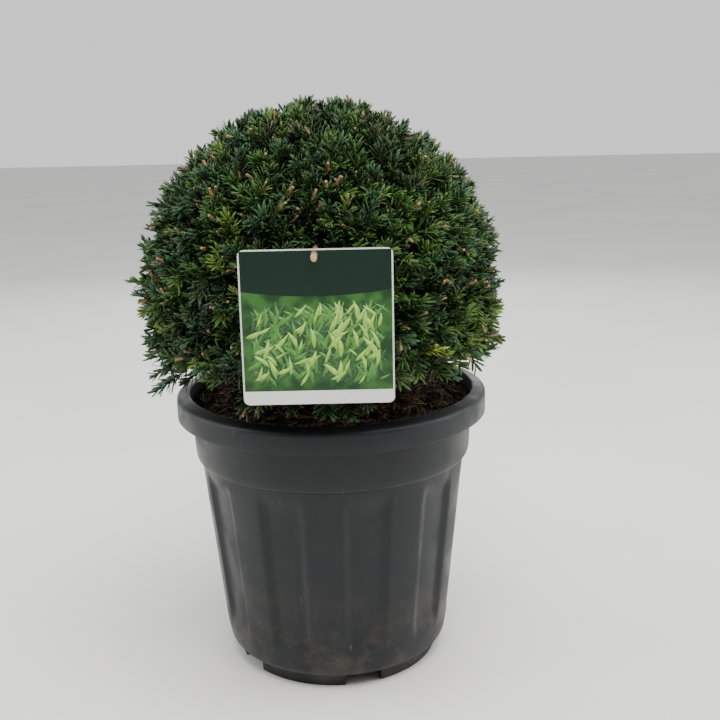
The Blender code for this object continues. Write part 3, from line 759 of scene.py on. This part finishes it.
@dataclass
class CrownRule:
    """The crown's clipped outline, its masses' seeds and its limbs, as the frame's solids have them."""

    x: float = -0.0067
    radius: float = 0.1805
    waist: float = 0.388
    rise: float = 0.1767
    drop: float = 0.113
    curve: float = 1.92
    drop_curve: float = 10.0
    first: float = -6.0
    seed_r: float = 0.110
    seed_high: float = 0.372
    seed_step: float = 0.006
    top_high: float = 0.494
    hub_high: float = 0.325
    soil_top: float = 0.2705
    trunk_tip: float = 0.409
    lean: float = 0.004

    def middle(self) -> Array:
        """Middle of the crown at its waist."""
        return np.array([self.x, 0.0, self.waist])

    def outline(self, height: Array) -> Array:
        """Radius at a height: R times the root of 1 - share, where share is a power of the rise."""
        up = np.clip((height - self.waist) / self.rise, 0, 1) ** self.curve
        down = np.clip((self.waist - height) / self.drop, 0, 1) ** self.drop_curve
        return self.radius * np.sqrt(np.clip(1 - np.where(height > self.waist, up, down), 0, 1))

    def reach(self, way: Array) -> Array:
        """Distance from the middle to the outline along directions, found by halving."""
        low = np.zeros(len(way))
        high = np.full(len(way), self.radius * 1.2)
        flat = np.linalg.norm(way[:, :2], axis=1)
        for _ in range(26):
            half = (low + high) / 2
            inside = flat * half < self.outline(self.waist + way[:, 2] * half)
            low = np.where(inside, half, low)
            high = np.where(inside, high, half)
        return low

    def seeds(self) -> Array:
        """Middles of the side masses and, last, of the top one."""
        spots = []
        for index in range(len(SIDE_NAMES)):
            angle = self.first + index * 360 / len(SIDE_NAMES)
            spots.append(bearing(angle, self.seed_r, self.seed_high + self.seed_step * (index % 2)))
        spots.append(np.array([0.0, 0.0, self.top_high]))
        return np.array(spots) + np.array([self.x, 0, 0])

    def hub(self) -> Array:
        """Point between the masses that the boughs part from."""
        return np.array([self.x, 0.0, self.hub_high])

    def trunk_at(self, height: Array) -> Array:
        """Middle of the bowed trunk: half a sine wave between its plumb ends."""
        along = (height - self.soil_top) / (self.trunk_tip - self.soil_top)
        sway = self.lean * np.sin(math.pi * np.clip((along - 0.03) / 0.94, 0, 1))
        return np.stack(np.broadcast_arrays(self.x + sway, sway / 2, height), axis=-1)


@dataclass
class Limbs:
    """Trunk and boughs with their bark's relief."""

    rule: CrownRule
    trunk_r: float = 0.0113
    trunk_tip_r: float = 0.0047
    flare: float = 0.0083
    bough_root_r: float = 0.0053
    bough_tip_r: float = 0.0038
    plate: float = 0.0009

    def bark_skin(self, line: Array, radius: Array, around: int, seed: int) -> Array:
        """Rings along a line, raised and sunk by flaky plates.

        Args:
            line: points of the middle line.
            radius: radius at each.
            around: points in a ring.
            seed: seed of the plates.

        Returns:
            The rings' points.
        """
        ahead = unit(np.gradient(line, axis=0))
        helper = np.array([0.31, 0.95, 0.05])
        across = unit(np.cross(ahead, helper))
        over = np.cross(ahead, across)
        turn = 2 * math.pi * np.arange(around) / around
        out = across[:, None] * np.cos(turn)[:, None] + over[:, None] * np.sin(turn)[:, None]
        rings = line[:, None] + out * radius[:, None, None]
        squeezed = rings * np.array([1.0, 1.0, 0.35])
        plates = ripple(squeezed, 0.010, seed) + 0.5 * np.abs(ripple(squeezed, 0.0045, seed + 1))
        lift = self.plate * (plates - 0.9) * np.minimum(1.0, radius / 0.006)[:, None]
        return rings + out * np.minimum(lift, 0.0)[:, :, None]

    def build(self) -> None:
        """Make the trunk and the boughs."""
        bark = Finish("yew_bark", (0.060, 0.030, 0.019), (0.185, 0.092, 0.052), 120.0,
                      rough=(0.72, 0.92), bump=0.8, relief=0.0012, specular=0.25)
        material = bark.make()
        rule = self.rule
        heights = np.linspace(rule.soil_top + 0.0004, rule.trunk_tip, 90)
        along = (heights - rule.soil_top) / (rule.trunk_tip - rule.soil_top)
        radius = self.trunk_r + (self.trunk_tip_r - self.trunk_r) * along + self.flare * np.exp(-16 * along)
        shape = Shape()
        shape.rings(self.bark_skin(rule.trunk_at(heights), radius, 56, 11))
        new_piece("trunk_bark", shape, material, ("trunk",), smooth=70)
        shape = Shape()
        for index, seed in enumerate(rule.seeds()[:-1]):
            way = unit(seed - rule.hub())
            tip = (seed + rule.hub()) / 2 - way * 0.001
            root = rule.trunk_at(np.array(0.298 + 0.013 * (index % 2)))
            last = tip - way * 0.004
            bend = tip - way * 0.024
            share = np.linspace(0.12, 1, 36)[:, None]
            line = root * (1 - share) ** 2 + bend * 2 * share * (1 - share) + last * share ** 2
            line = np.concatenate([line, tip[None]])
            radius = np.linspace(self.bough_root_r, self.bough_tip_r, len(line))
            shape.rings(self.bark_skin(line, radius, 26, 31 + index))
        new_piece("boughs_bark", shape, material, BOUGHS, smooth=70)


@dataclass
class Foliage:
    """Twigs and needles that grow on from the limbs out to the clipped outline."""

    rule: CrownRule
    directions: int = 3050
    lowest: float = -0.66
    underside: float = 0.319
    needles: int = 30
    needle_long: tuple = (0.0150, 0.0205)
    needle_wide: tuple = (0.0022, 0.0028)
    shoot_long: tuple = (0.034, 0.056)
    lean: tuple = (8.0, 52.0)
    inner_shoots: int = 420
    hub_share: float = 0.62
    shoots_per_hub: int = 11
    young_tufts: int = 13
    cut_tips: int = 430
    most_needles: int = 15500
    outer_depth: tuple = (0.885, 0.968)
    inner_depth: tuple = (0.66, 0.82)
    hollow_depth: float = 0.055
    clip_edge: float = 1.012
    clip_above: float = 0.30
    shortest: float = 0.0042
    rim_clear: tuple = (0.157, 0.2805)
    beyond_rim: float = 0.268
    card_clear: float = 0.0010
    card_behind: float = 0.0006
    twig_clear: float = 0.0060
    strays: tuple = (
        (-90.0, 0.388, 0.1973), (-87.0, 0.376, 0.1925), (38.0, 0.452, 0.1840), (154.0, 0.402, 0.1900),
        (-152.0, 0.438, 0.1860), (97.0, 0.346, 0.1880), (-60.0, 0.470, 0.1750),
    )
    drooping: tuple = (
        (-76.0, 0.168, 0.302), (-68.0, 0.170, 0.2925), (-61.0, 0.164, 0.304), (-50.0, 0.160, 0.310),
        (-26.0, 0.150, 0.293), (-20.0, 0.156, 0.300), (-9.0, 0.152, 0.296), (3.0, 0.150, 0.292),
        (10.0, 0.154, 0.290), (16.0, 0.150, 0.298), (48.0, 0.160, 0.313), (132.0, 0.158, 0.306),
    )

    def even_ways(self, count: int) -> Array:
        """Directions on a golden spiral: height falls evenly and the turn grows by the golden angle."""
        index = np.arange(count)
        height = 1 - 2 * (index + 0.5) / count
        flat = np.sqrt(1 - height ** 2)
        return np.stack([flat * np.cos(GOLDEN * index), flat * np.sin(GOLDEN * index), height], 1)

    def shoot_lines(self, rng: np.random.Generator) -> tuple:
        """First and last points of every shoot.

        A shoot's tip lies just inside the clipped outline, and it leans from the way out,
        upwards in the upper crown and down over the pot's rim at the underside's edge.

        Args:
            rng: random numbers.

        Returns:
            The shoots' first points, last points and whether each is an inner one.
        """
        ways = self.even_ways(self.directions)
        ways = unit(ways + rng.normal(size=ways.shape) * 0.028)
        ways = ways[ways[:, 2] > self.lowest]
        reach = self.rule.reach(ways)
        hollow = self.hollow_depth * np.maximum(ripple(ways, 0.21, 90), 0.0)
        depth = rng.uniform(*self.outer_depth, len(ways)) - hollow
        tips = self.rule.middle() + ways * (reach * depth)[:, None]
        inner = unit(self.even_ways(self.inner_shoots) + rng.normal(size=(self.inner_shoots, 3)) * 0.05)
        inner = inner[inner[:, 2] > -0.5]
        depth = rng.uniform(*self.inner_depth, len(inner))
        inner_tips = self.rule.middle() + inner * (self.rule.reach(inner) * depth)[:, None]
        ways = np.concatenate([ways, inner])
        tips = np.concatenate([tips, inner_tips])
        is_inner = np.arange(len(tips)) >= len(tips) - len(inner)
        high = tips[:, 2] > self.underside + rng.normal(size=len(tips)) * 0.004
        ways, tips, is_inner = ways[high], tips[high], is_inner[high]
        side = unit(np.cross(ways, rng.normal(size=ways.shape)))
        rise = np.where(ways[:, 2:] < -0.30, -0.25, 0.40)
        side = unit(side + UP * rise)
        lean = np.radians(rng.uniform(*self.lean, len(ways)))[:, None]
        aim = unit(ways * np.cos(lean) + side * np.sin(lean))
        long = rng.uniform(*self.shoot_long, len(ways))[:, None]
        return tips - aim * long, tips, is_inner

    def stray_lines(self) -> tuple:
        """First and last points of the shoots that stand out of the clipped outline."""
        starts = []
        ends = []
        for angle, height, reach in self.strays:
            tip = bearing(angle, reach - 0.010, height) + np.array([self.rule.x, 0, 0])
            start = bearing(angle, reach - 0.062, height - 0.014) + np.array([self.rule.x, 0, 0])
            starts.append(start)
            ends.append(tip)
        for angle, reach, height in self.drooping:
            starts.append(bearing(angle - 2, reach - 0.036, height + 0.020) + np.array([self.rule.x, 0, 0]))
            ends.append(bearing(angle, reach, height) + np.array([self.rule.x, 0, 0]))
        return np.array(starts), np.array(ends)

    def keeps_clear(self, points: Array) -> Array:
        """Whether points keep off the pot, the soil, the label card and its twig."""
        low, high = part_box("label_card")
        low = np.array(low) - AXIS
        high = np.array(high) - AXIS
        flat = np.linalg.norm(points[..., :2], axis=-1)
        over_pot = points[..., 2] > np.where(flat < self.rim_clear[0], self.rim_clear[1], self.beyond_rim)
        room = self.card_clear
        across = (points[..., 0] > low[0] - room) & (points[..., 0] < high[0] + room)
        upright = (points[..., 2] > low[2] - room) & (points[..., 2] < high[2] + room)
        behind = points[..., 1] > high[1] + self.card_behind
        t_low, t_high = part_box("label_twig")
        mid = (np.array(t_low) + np.array(t_high)) / 2 - AXIS
        aside = np.hypot(points[..., 0] - mid[0], points[..., 2] - mid[2])
        off_twig = (aside > self.twig_clear) | (points[..., 1] > np.array(t_high)[1] - AXIS[1])
        return over_pot & ~(across & upright & ~behind) & off_twig

    def grow_needles(self, starts: Array, ends: Array, rng: np.random.Generator) -> dict:
        """Work out every needle: a spiral up its shoot, pressed towards two ranks on level shoots.

        A needle leaves its shoot at an angle that closes from the shoot's foot to its tip.

        Args:
            starts: shoots' first points.
            ends: shoots' last points.
            rng: random numbers.

        Returns:
            The needles' base, way, facing, length, width, curl and shoot number.
        """
        count = len(starts)
        number = np.arange(self.needles)
        share = 0.10 + 0.89 * (number + 0.5) / self.needles
        axis = unit(ends - starts)
        level = unit(np.cross(axis, UP + rng.normal(size=axis.shape) * 0.05))
        over = np.cross(level, axis)
        turn = GOLDEN * number[None, :] + rng.uniform(0, 6.28, (count, 1))
        turn = turn + rng.normal(size=(count, self.needles)) * 0.25
        steep = np.abs(axis[:, 2:])
        press = 0.35 + 0.65 * smooth_step(0.35, 0.85, steep)
        out = level[:, None] * np.cos(turn)[..., None] + over[:, None] * (np.sin(turn) * press)[..., None]
        out = unit(out + over[:, None] * 0.10)
        open_to = np.radians(66 - 40 * share[None, :] + rng.normal(size=(count, self.needles)) * 7)[..., None]
        way = unit(axis[:, None] * np.cos(open_to) + out * np.sin(open_to))
        base = starts[:, None] + (ends - starts)[:, None] * share[None, :, None]
        long = rng.uniform(*self.needle_long, (count, 1)) * (1 - 0.42 * share[None, :] ** 4)
        long = long * rng.uniform(0.84, 1.08, (count, self.needles))
        wide = rng.uniform(*self.needle_wide, (count, 1)) * np.ones((1, self.needles))
        facing = axis[:, None] + UP * 0.35 + rng.normal(size=way.shape) * 0.15
        curl = rng.uniform(-0.0026, 0.0008, long.shape)
        places = {"base": base, "way": way, "facing": facing}
        sizes = {"length": long, "width": wide, "curl": curl}
        grown = {key: value.reshape(-1, 3) for key, value in places.items()}
        grown |= {key: value.ravel() for key, value in sizes.items()}
        grown["shoot"] = np.repeat(np.arange(count), self.needles)
        return grown

    def clip(self, grown: dict, free: Array) -> dict:
        """Cut needles back to the outline, and skip those left too short or that would touch the pot, the
        soil, the label card or its twig.

        Args:
            grown: needles from grow_needles.
            free: shoots that the shears missed, which keep their needles whole.

        Returns:
            The needles that stay.
        """
        for _ in range(7):
            tip = grown["base"] + grown["way"] * grown["length"][:, None]
            off = tip - self.rule.middle()
            flat = np.linalg.norm(off[:, :2], axis=1)
            outside = (flat > self.rule.outline(tip[:, 2]) * self.clip_edge) & ~free[grown["shoot"]]
            outside &= tip[:, 2] > self.clip_above
            grown["length"] = np.where(outside, grown["length"] * 0.86, grown["length"])
        keep = grown["length"] > self.shortest
        for share in (0.0, 0.5, 1.0):
            keep &= self.keeps_clear(grown["base"] + grown["way"] * (grown["length"] * share)[:, None])
        return {key: value[keep] for key, value in grown.items()}

    def tones(self, tips: Array, is_inner: Array, rng: np.random.Generator) -> Array:
        """Deal a tone to each shoot: patches of blue and middle green, a few young tufts, and painted shade
        on the inner shoots, which all take the deepest green.
        """
        draw = rng.uniform(size=len(tips)) + 0.16 * ripple(tips, 0.11, 77)
        tone = np.full(len(tips), 0)
        tone[draw > 0.40] = 1
        tone[draw > 0.74] = 2
        tone[draw > 0.985] = 3
        # Painted shade: every inner shoot takes the deepest green, darkening the crown's inside where shade
        # falls.
        tone[is_inner] = 0
        outer = np.flatnonzero(~is_inner)
        for pick in rng.choice(outer, self.young_tufts, replace=False):
            near = np.linalg.norm(tips - tips[pick], axis=1) < 0.0075
            tone[near] = 3
            tone[pick] = 4
        return tone

    def build(self) -> None:
        """Make the needles, one set of pieces for each tone, then the twigs and the cut tips."""
        rng = np.random.default_rng(SEED)
        starts, ends, is_inner = self.shoot_lines(rng)
        stray_starts, stray_ends = self.stray_lines()
        free = np.concatenate([np.zeros(len(starts), bool), np.ones(len(stray_starts), bool)])
        starts = np.concatenate([starts, stray_starts])
        ends = np.concatenate([ends, stray_ends])
        is_inner = np.concatenate([is_inner, np.zeros(len(stray_starts), bool)])
        clear = self.keeps_clear(starts) & self.keeps_clear(ends) & self.keeps_clear((starts + ends) / 2)
        starts, ends, free, is_inner = starts[clear], ends[clear], free[clear], is_inner[clear]
        tone = self.tones(ends, is_inner, rng)
        grown = self.clip(self.grow_needles(starts, ends, rng), free)
        for index, name in enumerate(Tone):
            mine = np.flatnonzero(tone[grown["shoot"]] == index)
            material = name.value.make()
            parts = max(1, math.ceil(len(mine) / self.most_needles))
            for part, chosen in enumerate(np.array_split(mine, parts)):
                shape = Shape()
                shape.add(*needle_bundle(*(grown[key][chosen] for key in
                                           ("base", "way", "facing", "length", "width", "curl"))))
                title = f"needles_{name.name.lower()}_{part + 1}"
                new_piece(title, shape, material, MASSES)
        self.build_twigs(starts, ends, is_inner, rng)

    def build_twigs(self, starts: Array, ends: Array, is_inner: Array, rng: np.random.Generator) -> None:
        """Carry each mass's stem on to its seed, then by forks to every shoot.

        Args:
            starts: shoots' first points.
            ends: shoots' last points.
            is_inner: whether each shoot is an inner one.
            rng: random numbers.
        """
        seeds = self.rule.seeds()
        home = np.linalg.norm(starts[:, None] - seeds[None], axis=2).argmin(1)
        wood = Shape()
        for index, seed in enumerate(seeds):
            if index < len(seeds) - 1:
                way = unit(seed - self.rule.hub())
                root = (seed + self.rule.hub()) / 2 - way * 0.0007
                thick = 0.0038
            else:
                root = np.array([self.rule.x, 0.0, self.rule.trunk_tip + 0.0003])
                thick = 0.0047
            wood.add(*twig_bundle(root[None], seed[None], np.zeros((1, 3)), np.array([thick]),
                                  np.array([thick * 0.62]), 8, 6))
            mine = np.flatnonzero(home == index)
            forks = max(3, len(mine) // self.shoots_per_hub)
            picks = rng.choice(mine, forks, replace=False)
            knots = seed + (starts[picks] - seed) * self.hub_share
            bow = rng.normal(size=(forks, 3)) * 0.004
            wood.add(*twig_bundle(np.repeat(seed[None], forks, 0), knots, bow, np.full(forks, 0.0021),
                                  np.full(forks, 0.0013), 5, 4))
            nearest = np.linalg.norm(starts[mine][:, None] - knots[None], axis=2).argmin(1)
            bow = rng.normal(size=(len(mine), 3)) * 0.0025
            wood.add(*twig_bundle(knots[nearest], starts[mine], bow, np.full(len(mine), 0.0012),
                                  np.full(len(mine), 0.0009), 4, 3))
        bark = Finish("twig_bark", (0.050, 0.028, 0.017), (0.130, 0.075, 0.040), 140.0,
                      rough=(0.6, 0.85), bump=0.4, specular=0.3)
        new_piece("twigs", wood, bark.make(), MASSES, smooth=60)
        green = Shape()
        count = len(starts)
        green.add(*twig_bundle(starts, ends, np.zeros((count, 3)), np.full(count, 0.0009),
                               np.full(count, 0.0005), 4, 2))
        stalk = Finish("shoot_green", (0.045, 0.060, 0.016), (0.110, 0.085, 0.032), 80.0,
                       rough=(0.5, 0.7), bump=0.2)
        new_piece("shoots", green, stalk.make(), MASSES, smooth=60)
        outer = np.flatnonzero(~is_inner)
        picks = rng.choice(outer, self.cut_tips, replace=False)
        axis = unit(ends[picks] - starts[picks])
        thick = rng.uniform(0.0010, 0.0018, len(picks))
        tip = ends[picks] + axis * rng.uniform(0.004, 0.009, (len(picks), 1))
        tips = Shape()
        root = ends[picks] - axis * 0.002
        tips.add(*twig_bundle(root, tip, np.zeros((len(picks), 3)), thick, thick * 0.75, 6, 1))
        tan = Finish("cut_tips", (0.210, 0.105, 0.048), (0.380, 0.225, 0.115), 300.0,
                     rough=(0.6, 0.85), bump=0.3)
        new_piece("cut_tips", tips, tan.make(), smooth=35)


@dataclass
class HangLabel:
    """Card with a generic leafy print, and the cut twig that it hangs from."""

    leaves: tuple = (210, 150, 70)
    leaf_long: tuple = (0.010, 0.020)
    film: float = 0.00006

    def leaf_patch(self, spots: Array, turns: Array, sizes: Array, front: float) -> tuple:
        """Flat printed leaves: each outline is a half width of sine t to each side of a bowed rib.

        Args:
            spots: x and z of each leaf's middle.
            turns: direction of each in radians.
            sizes: length and width of each.
            front: y of their back faces.

        Returns:
            The points, and the faces as one block.
        """
        steps = 8
        share = np.linspace(0, 1, steps + 1)
        half = np.sin(math.pi * share ** 0.85)
        upper = np.stack([share - 0.5, half / 2], 1)
        lower = np.stack([share - 0.5, -half / 2], 1)[-2:0:-1]
        rim = np.concatenate([upper, lower])
        along = rim[:, 0] * sizes[:, :1]
        aside = rim[:, 1] * sizes[:, 1:] + 0.25 * sizes[:, 1:] * (rim[:, 0] * 2) ** 2
        x = spots[:, :1] + along * np.cos(turns) - aside * np.sin(turns)
        z = spots[:, 1:] + along * np.sin(turns) + aside * np.cos(turns)
        around = len(rim)
        points = np.zeros((len(spots), around + 2, 3))
        points[:, :around, 0] = x
        points[:, :around, 2] = z
        points[:, :around, 1] = front - self.film / 2
        points[:, around] = np.stack([spots[:, 0], np.full(len(spots), front - self.film), spots[:, 1]], 1)
        points[:, around + 1] = np.stack([spots[:, 0], np.full(len(spots), front), spots[:, 1]], 1)
        near = np.arange(around)
        nearby = np.roll(near, -1)
        face = np.concatenate([np.stack([nearby, near, np.full(around, around)], 1),
                               np.stack([near, nearby, np.full(around, around + 1)], 1)])
        first = (np.arange(len(spots)) * (around + 2))[:, None, None]
        return points, [(first + face).reshape(-1, 3)]

    def build(self) -> None:
        """Give the card its print, lay leaves on it and make the twig's bark and cut face."""
        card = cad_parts["label_card"]
        print_finish = CardPrint("label_print", (0.80, 0.81, 0.78), (0.74, 0.75, 0.72), 40.0,
                                 rough=(0.30, 0.40), bump=0.03, specular=0.3)
        printed = print_finish.make()
        for place in card.material_slots:
            place.material = printed
        low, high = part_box("label_card")
        tall = high.z - low.z
        floor = low.z + tall * print_finish.strip_share
        ceiling = high.z - tall * print_finish.header_share
        rng = np.random.default_rng(SEED + 5)
        tints = (
            ("label_leaves_dark", (0.020, 0.080, 0.020), (0.032, 0.115, 0.028)),
            ("label_leaves_mid", (0.060, 0.210, 0.030), (0.095, 0.290, 0.045)),
            ("label_leaves_light", (0.260, 0.520, 0.070), (0.380, 0.640, 0.110)),
        )
        for layer, (name, colour, second) in enumerate(tints):
            count = self.leaves[layer]
            long = rng.uniform(*self.leaf_long, count)
            margin = 0.5 * long + 0.0022
            x = rng.uniform(low.x + margin, high.x - margin)
            z = rng.uniform(floor + margin, ceiling - margin)
            spots = np.stack([x - AXIS[0], z], 1)
            turns = rng.uniform(0.3, 2.6, (count, 1))
            sizes = np.stack([long, long * rng.uniform(0.16, 0.26, count)], 1)
            front = low.y - AXIS[1] - self.film * (layer * 1.2 + 0.2)
            shape = Shape()
            shape.add(*self.leaf_patch(spots, turns, sizes, front))
            finish = Finish(name, colour, second, 220.0, rough=(0.3, 0.4), bump=0.02)
            new_piece(name, shape, finish.make())
        self.build_twig()

    def build_twig(self) -> None:
        """Make the twig: an oval tube of bark with a pale, slightly domed end."""
        low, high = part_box("label_twig")
        middle = (np.array(low) + np.array(high)) / 2 - AXIS
        wide = (high.x - low.x) / 2 - 0.0001
        tall = (high.z - low.z) / 2 - 0.0001
        back = high.y - AXIS[1]
        front = low.y - AXIS[1]
        turn = 2 * math.pi * np.arange(32) / 32
        rows = []
        for depth in np.linspace(back, front + 0.0006, 40):
            swell = 1 + 0.035 * np.sin(turn * 3 + depth * 400) * (depth > front + 0.002) - 0.03
            rows.append(np.stack([middle[0] + wide * swell * np.cos(turn), np.full(32, depth),
                                  middle[2] + tall * swell * np.sin(turn)], 1))
        shape = Shape()
        shape.rings(np.stack(rows))
        bark = Finish("twig_end_bark", (0.110, 0.065, 0.038), (0.220, 0.140, 0.080), 260.0,
                      rough=(0.7, 0.9), bump=0.6, relief=0.0006, specular=0.25)
        new_piece("label_twig_bark", shape, bark.make(), ("label_twig",), smooth=60)
        rows = []
        for share, depth in ((0.93, front + 0.00055), (0.93, front + 0.0003), (0.70, front + 0.0001),
                             (0.35, front), (0.05, front)):
            rows.append(np.stack([middle[0] + wide * share * np.cos(turn), np.full(32, depth),
                                  middle[2] + tall * share * np.sin(turn)], 1))
        face = Shape()
        face.rings(np.stack(rows))
        pale = Finish("twig_cut_face", (0.420, 0.270, 0.140), (0.620, 0.450, 0.270), 700.0,
                      rough=(0.65, 0.85), bump=0.4, relief=0.0003)
        new_piece("label_twig_cut", face, pale.make(), smooth=60)


@dataclass
class Studio:
    """Camera at the photo's angle, pale floor and soft light."""

    lens: float = 52.5
    stand: tuple = (0.0295, -1.026, 0.558)
    pitch: float = 0.2435
    roll: float = -0.0215

    def camera(self) -> None:
        """Place the camera: turned up from looking down, pitched, then rolled."""
        data = bpy.data.cameras.new("camera")
        data.lens = self.lens
        data.sensor_width = 36.0
        data.clip_start = 0.05
        data.dof.use_dof = False
        camera = bpy.data.objects.new("camera", data)
        bpy.context.scene.collection.objects.link(camera)
        spot = Matrix.Translation(Vector(AXIS + np.array(self.stand)))
        tilt = Matrix.Rotation(math.pi / 2 - self.pitch, 4, "X")
        camera.matrix_world = spot @ tilt @ Matrix.Rotation(self.roll, 4, "Z")
        bpy.context.scene.camera = camera

    def area(self, name: str, spot: tuple, size: float, power: float, colour: tuple) -> None:
        """Add a square soft light that faces the crown."""
        data = bpy.data.lights.new(name, "AREA")
        data.shape = "SQUARE"
        data.size = size
        data.energy = power
        data.color = colour
        light = bpy.data.objects.new(name, data)
        light.location = spot
        aim = Vector((AXIS[0], AXIS[1], 0.33)) - Vector(spot)
        light.rotation_euler = aim.to_track_quat("-Z", "Y").to_euler()
        bpy.context.scene.collection.objects.link(light)

    def floor(self) -> None:
        """Lay a wide pale floor."""
        mesh = bpy.data.meshes.new("floor")
        wide = 9.0
        corners = [(-wide, -wide, 0), (wide, -wide, 0), (wide, wide, 0), (-wide, wide, 0)]
        mesh.from_pydata(corners, [], [(0, 1, 2, 3)])
        finish = Finish("studio_floor", (0.78, 0.78, 0.77), (0.75, 0.75, 0.745), 3.0,
                        rough=(0.75, 0.85), bump=0.02, specular=0.2)
        mesh.materials.append(finish.make())
        floor = bpy.data.objects.new("floor", mesh)
        bpy.context.scene.collection.objects.link(floor)

    def build(self) -> None:
        """Set up the camera, the floor, the lights and the surroundings."""
        self.camera()
        self.floor()
        self.area("top_light", (0.2, -0.7, 2.1), 1.4, 60.0, (1.0, 0.98, 0.94))
        self.area("left_light", (-2.0, 0.1, 1.0), 1.8, 30.0, (1.0, 0.99, 0.97))
        self.area("right_light", (2.0, 0.2, 1.1), 1.8, 30.0, (1.0, 1.0, 0.98))
        self.area("back_light", (0.0, 1.9, 1.3), 1.8, 16.0, (1.0, 1.0, 1.0))
        world = bpy.data.worlds.new("surroundings")
        world.use_nodes = True
        board = NodeBoard(world.node_tree)
        glow = world.node_tree.nodes["Background"]
        glow.inputs["Color"].default_value = (1.0, 1.0, 1.0, 1.0)
        apart = board.node("ShaderNodeSeparateXYZ")
        board.join(board.node("ShaderNodeTexCoord").outputs["Generated"], apart.inputs[0])
        board.join(board.span(apart.outputs["Y"], -0.75, 0.05, 0.22, 1.0), glow.inputs["Strength"])
        bpy.context.scene.world = world


def main() -> None:
    """Build the plant's pieces in order."""
    logging.basicConfig(level=logging.INFO, format="%(message)s")
    Studio().build()
    NurseryPot().build()
    PottingSoil().build()
    rule = CrownRule()
    Limbs(rule).build()
    Foliage(rule).build()
    HangLabel().build()


if __name__ == "__main__":
    main()
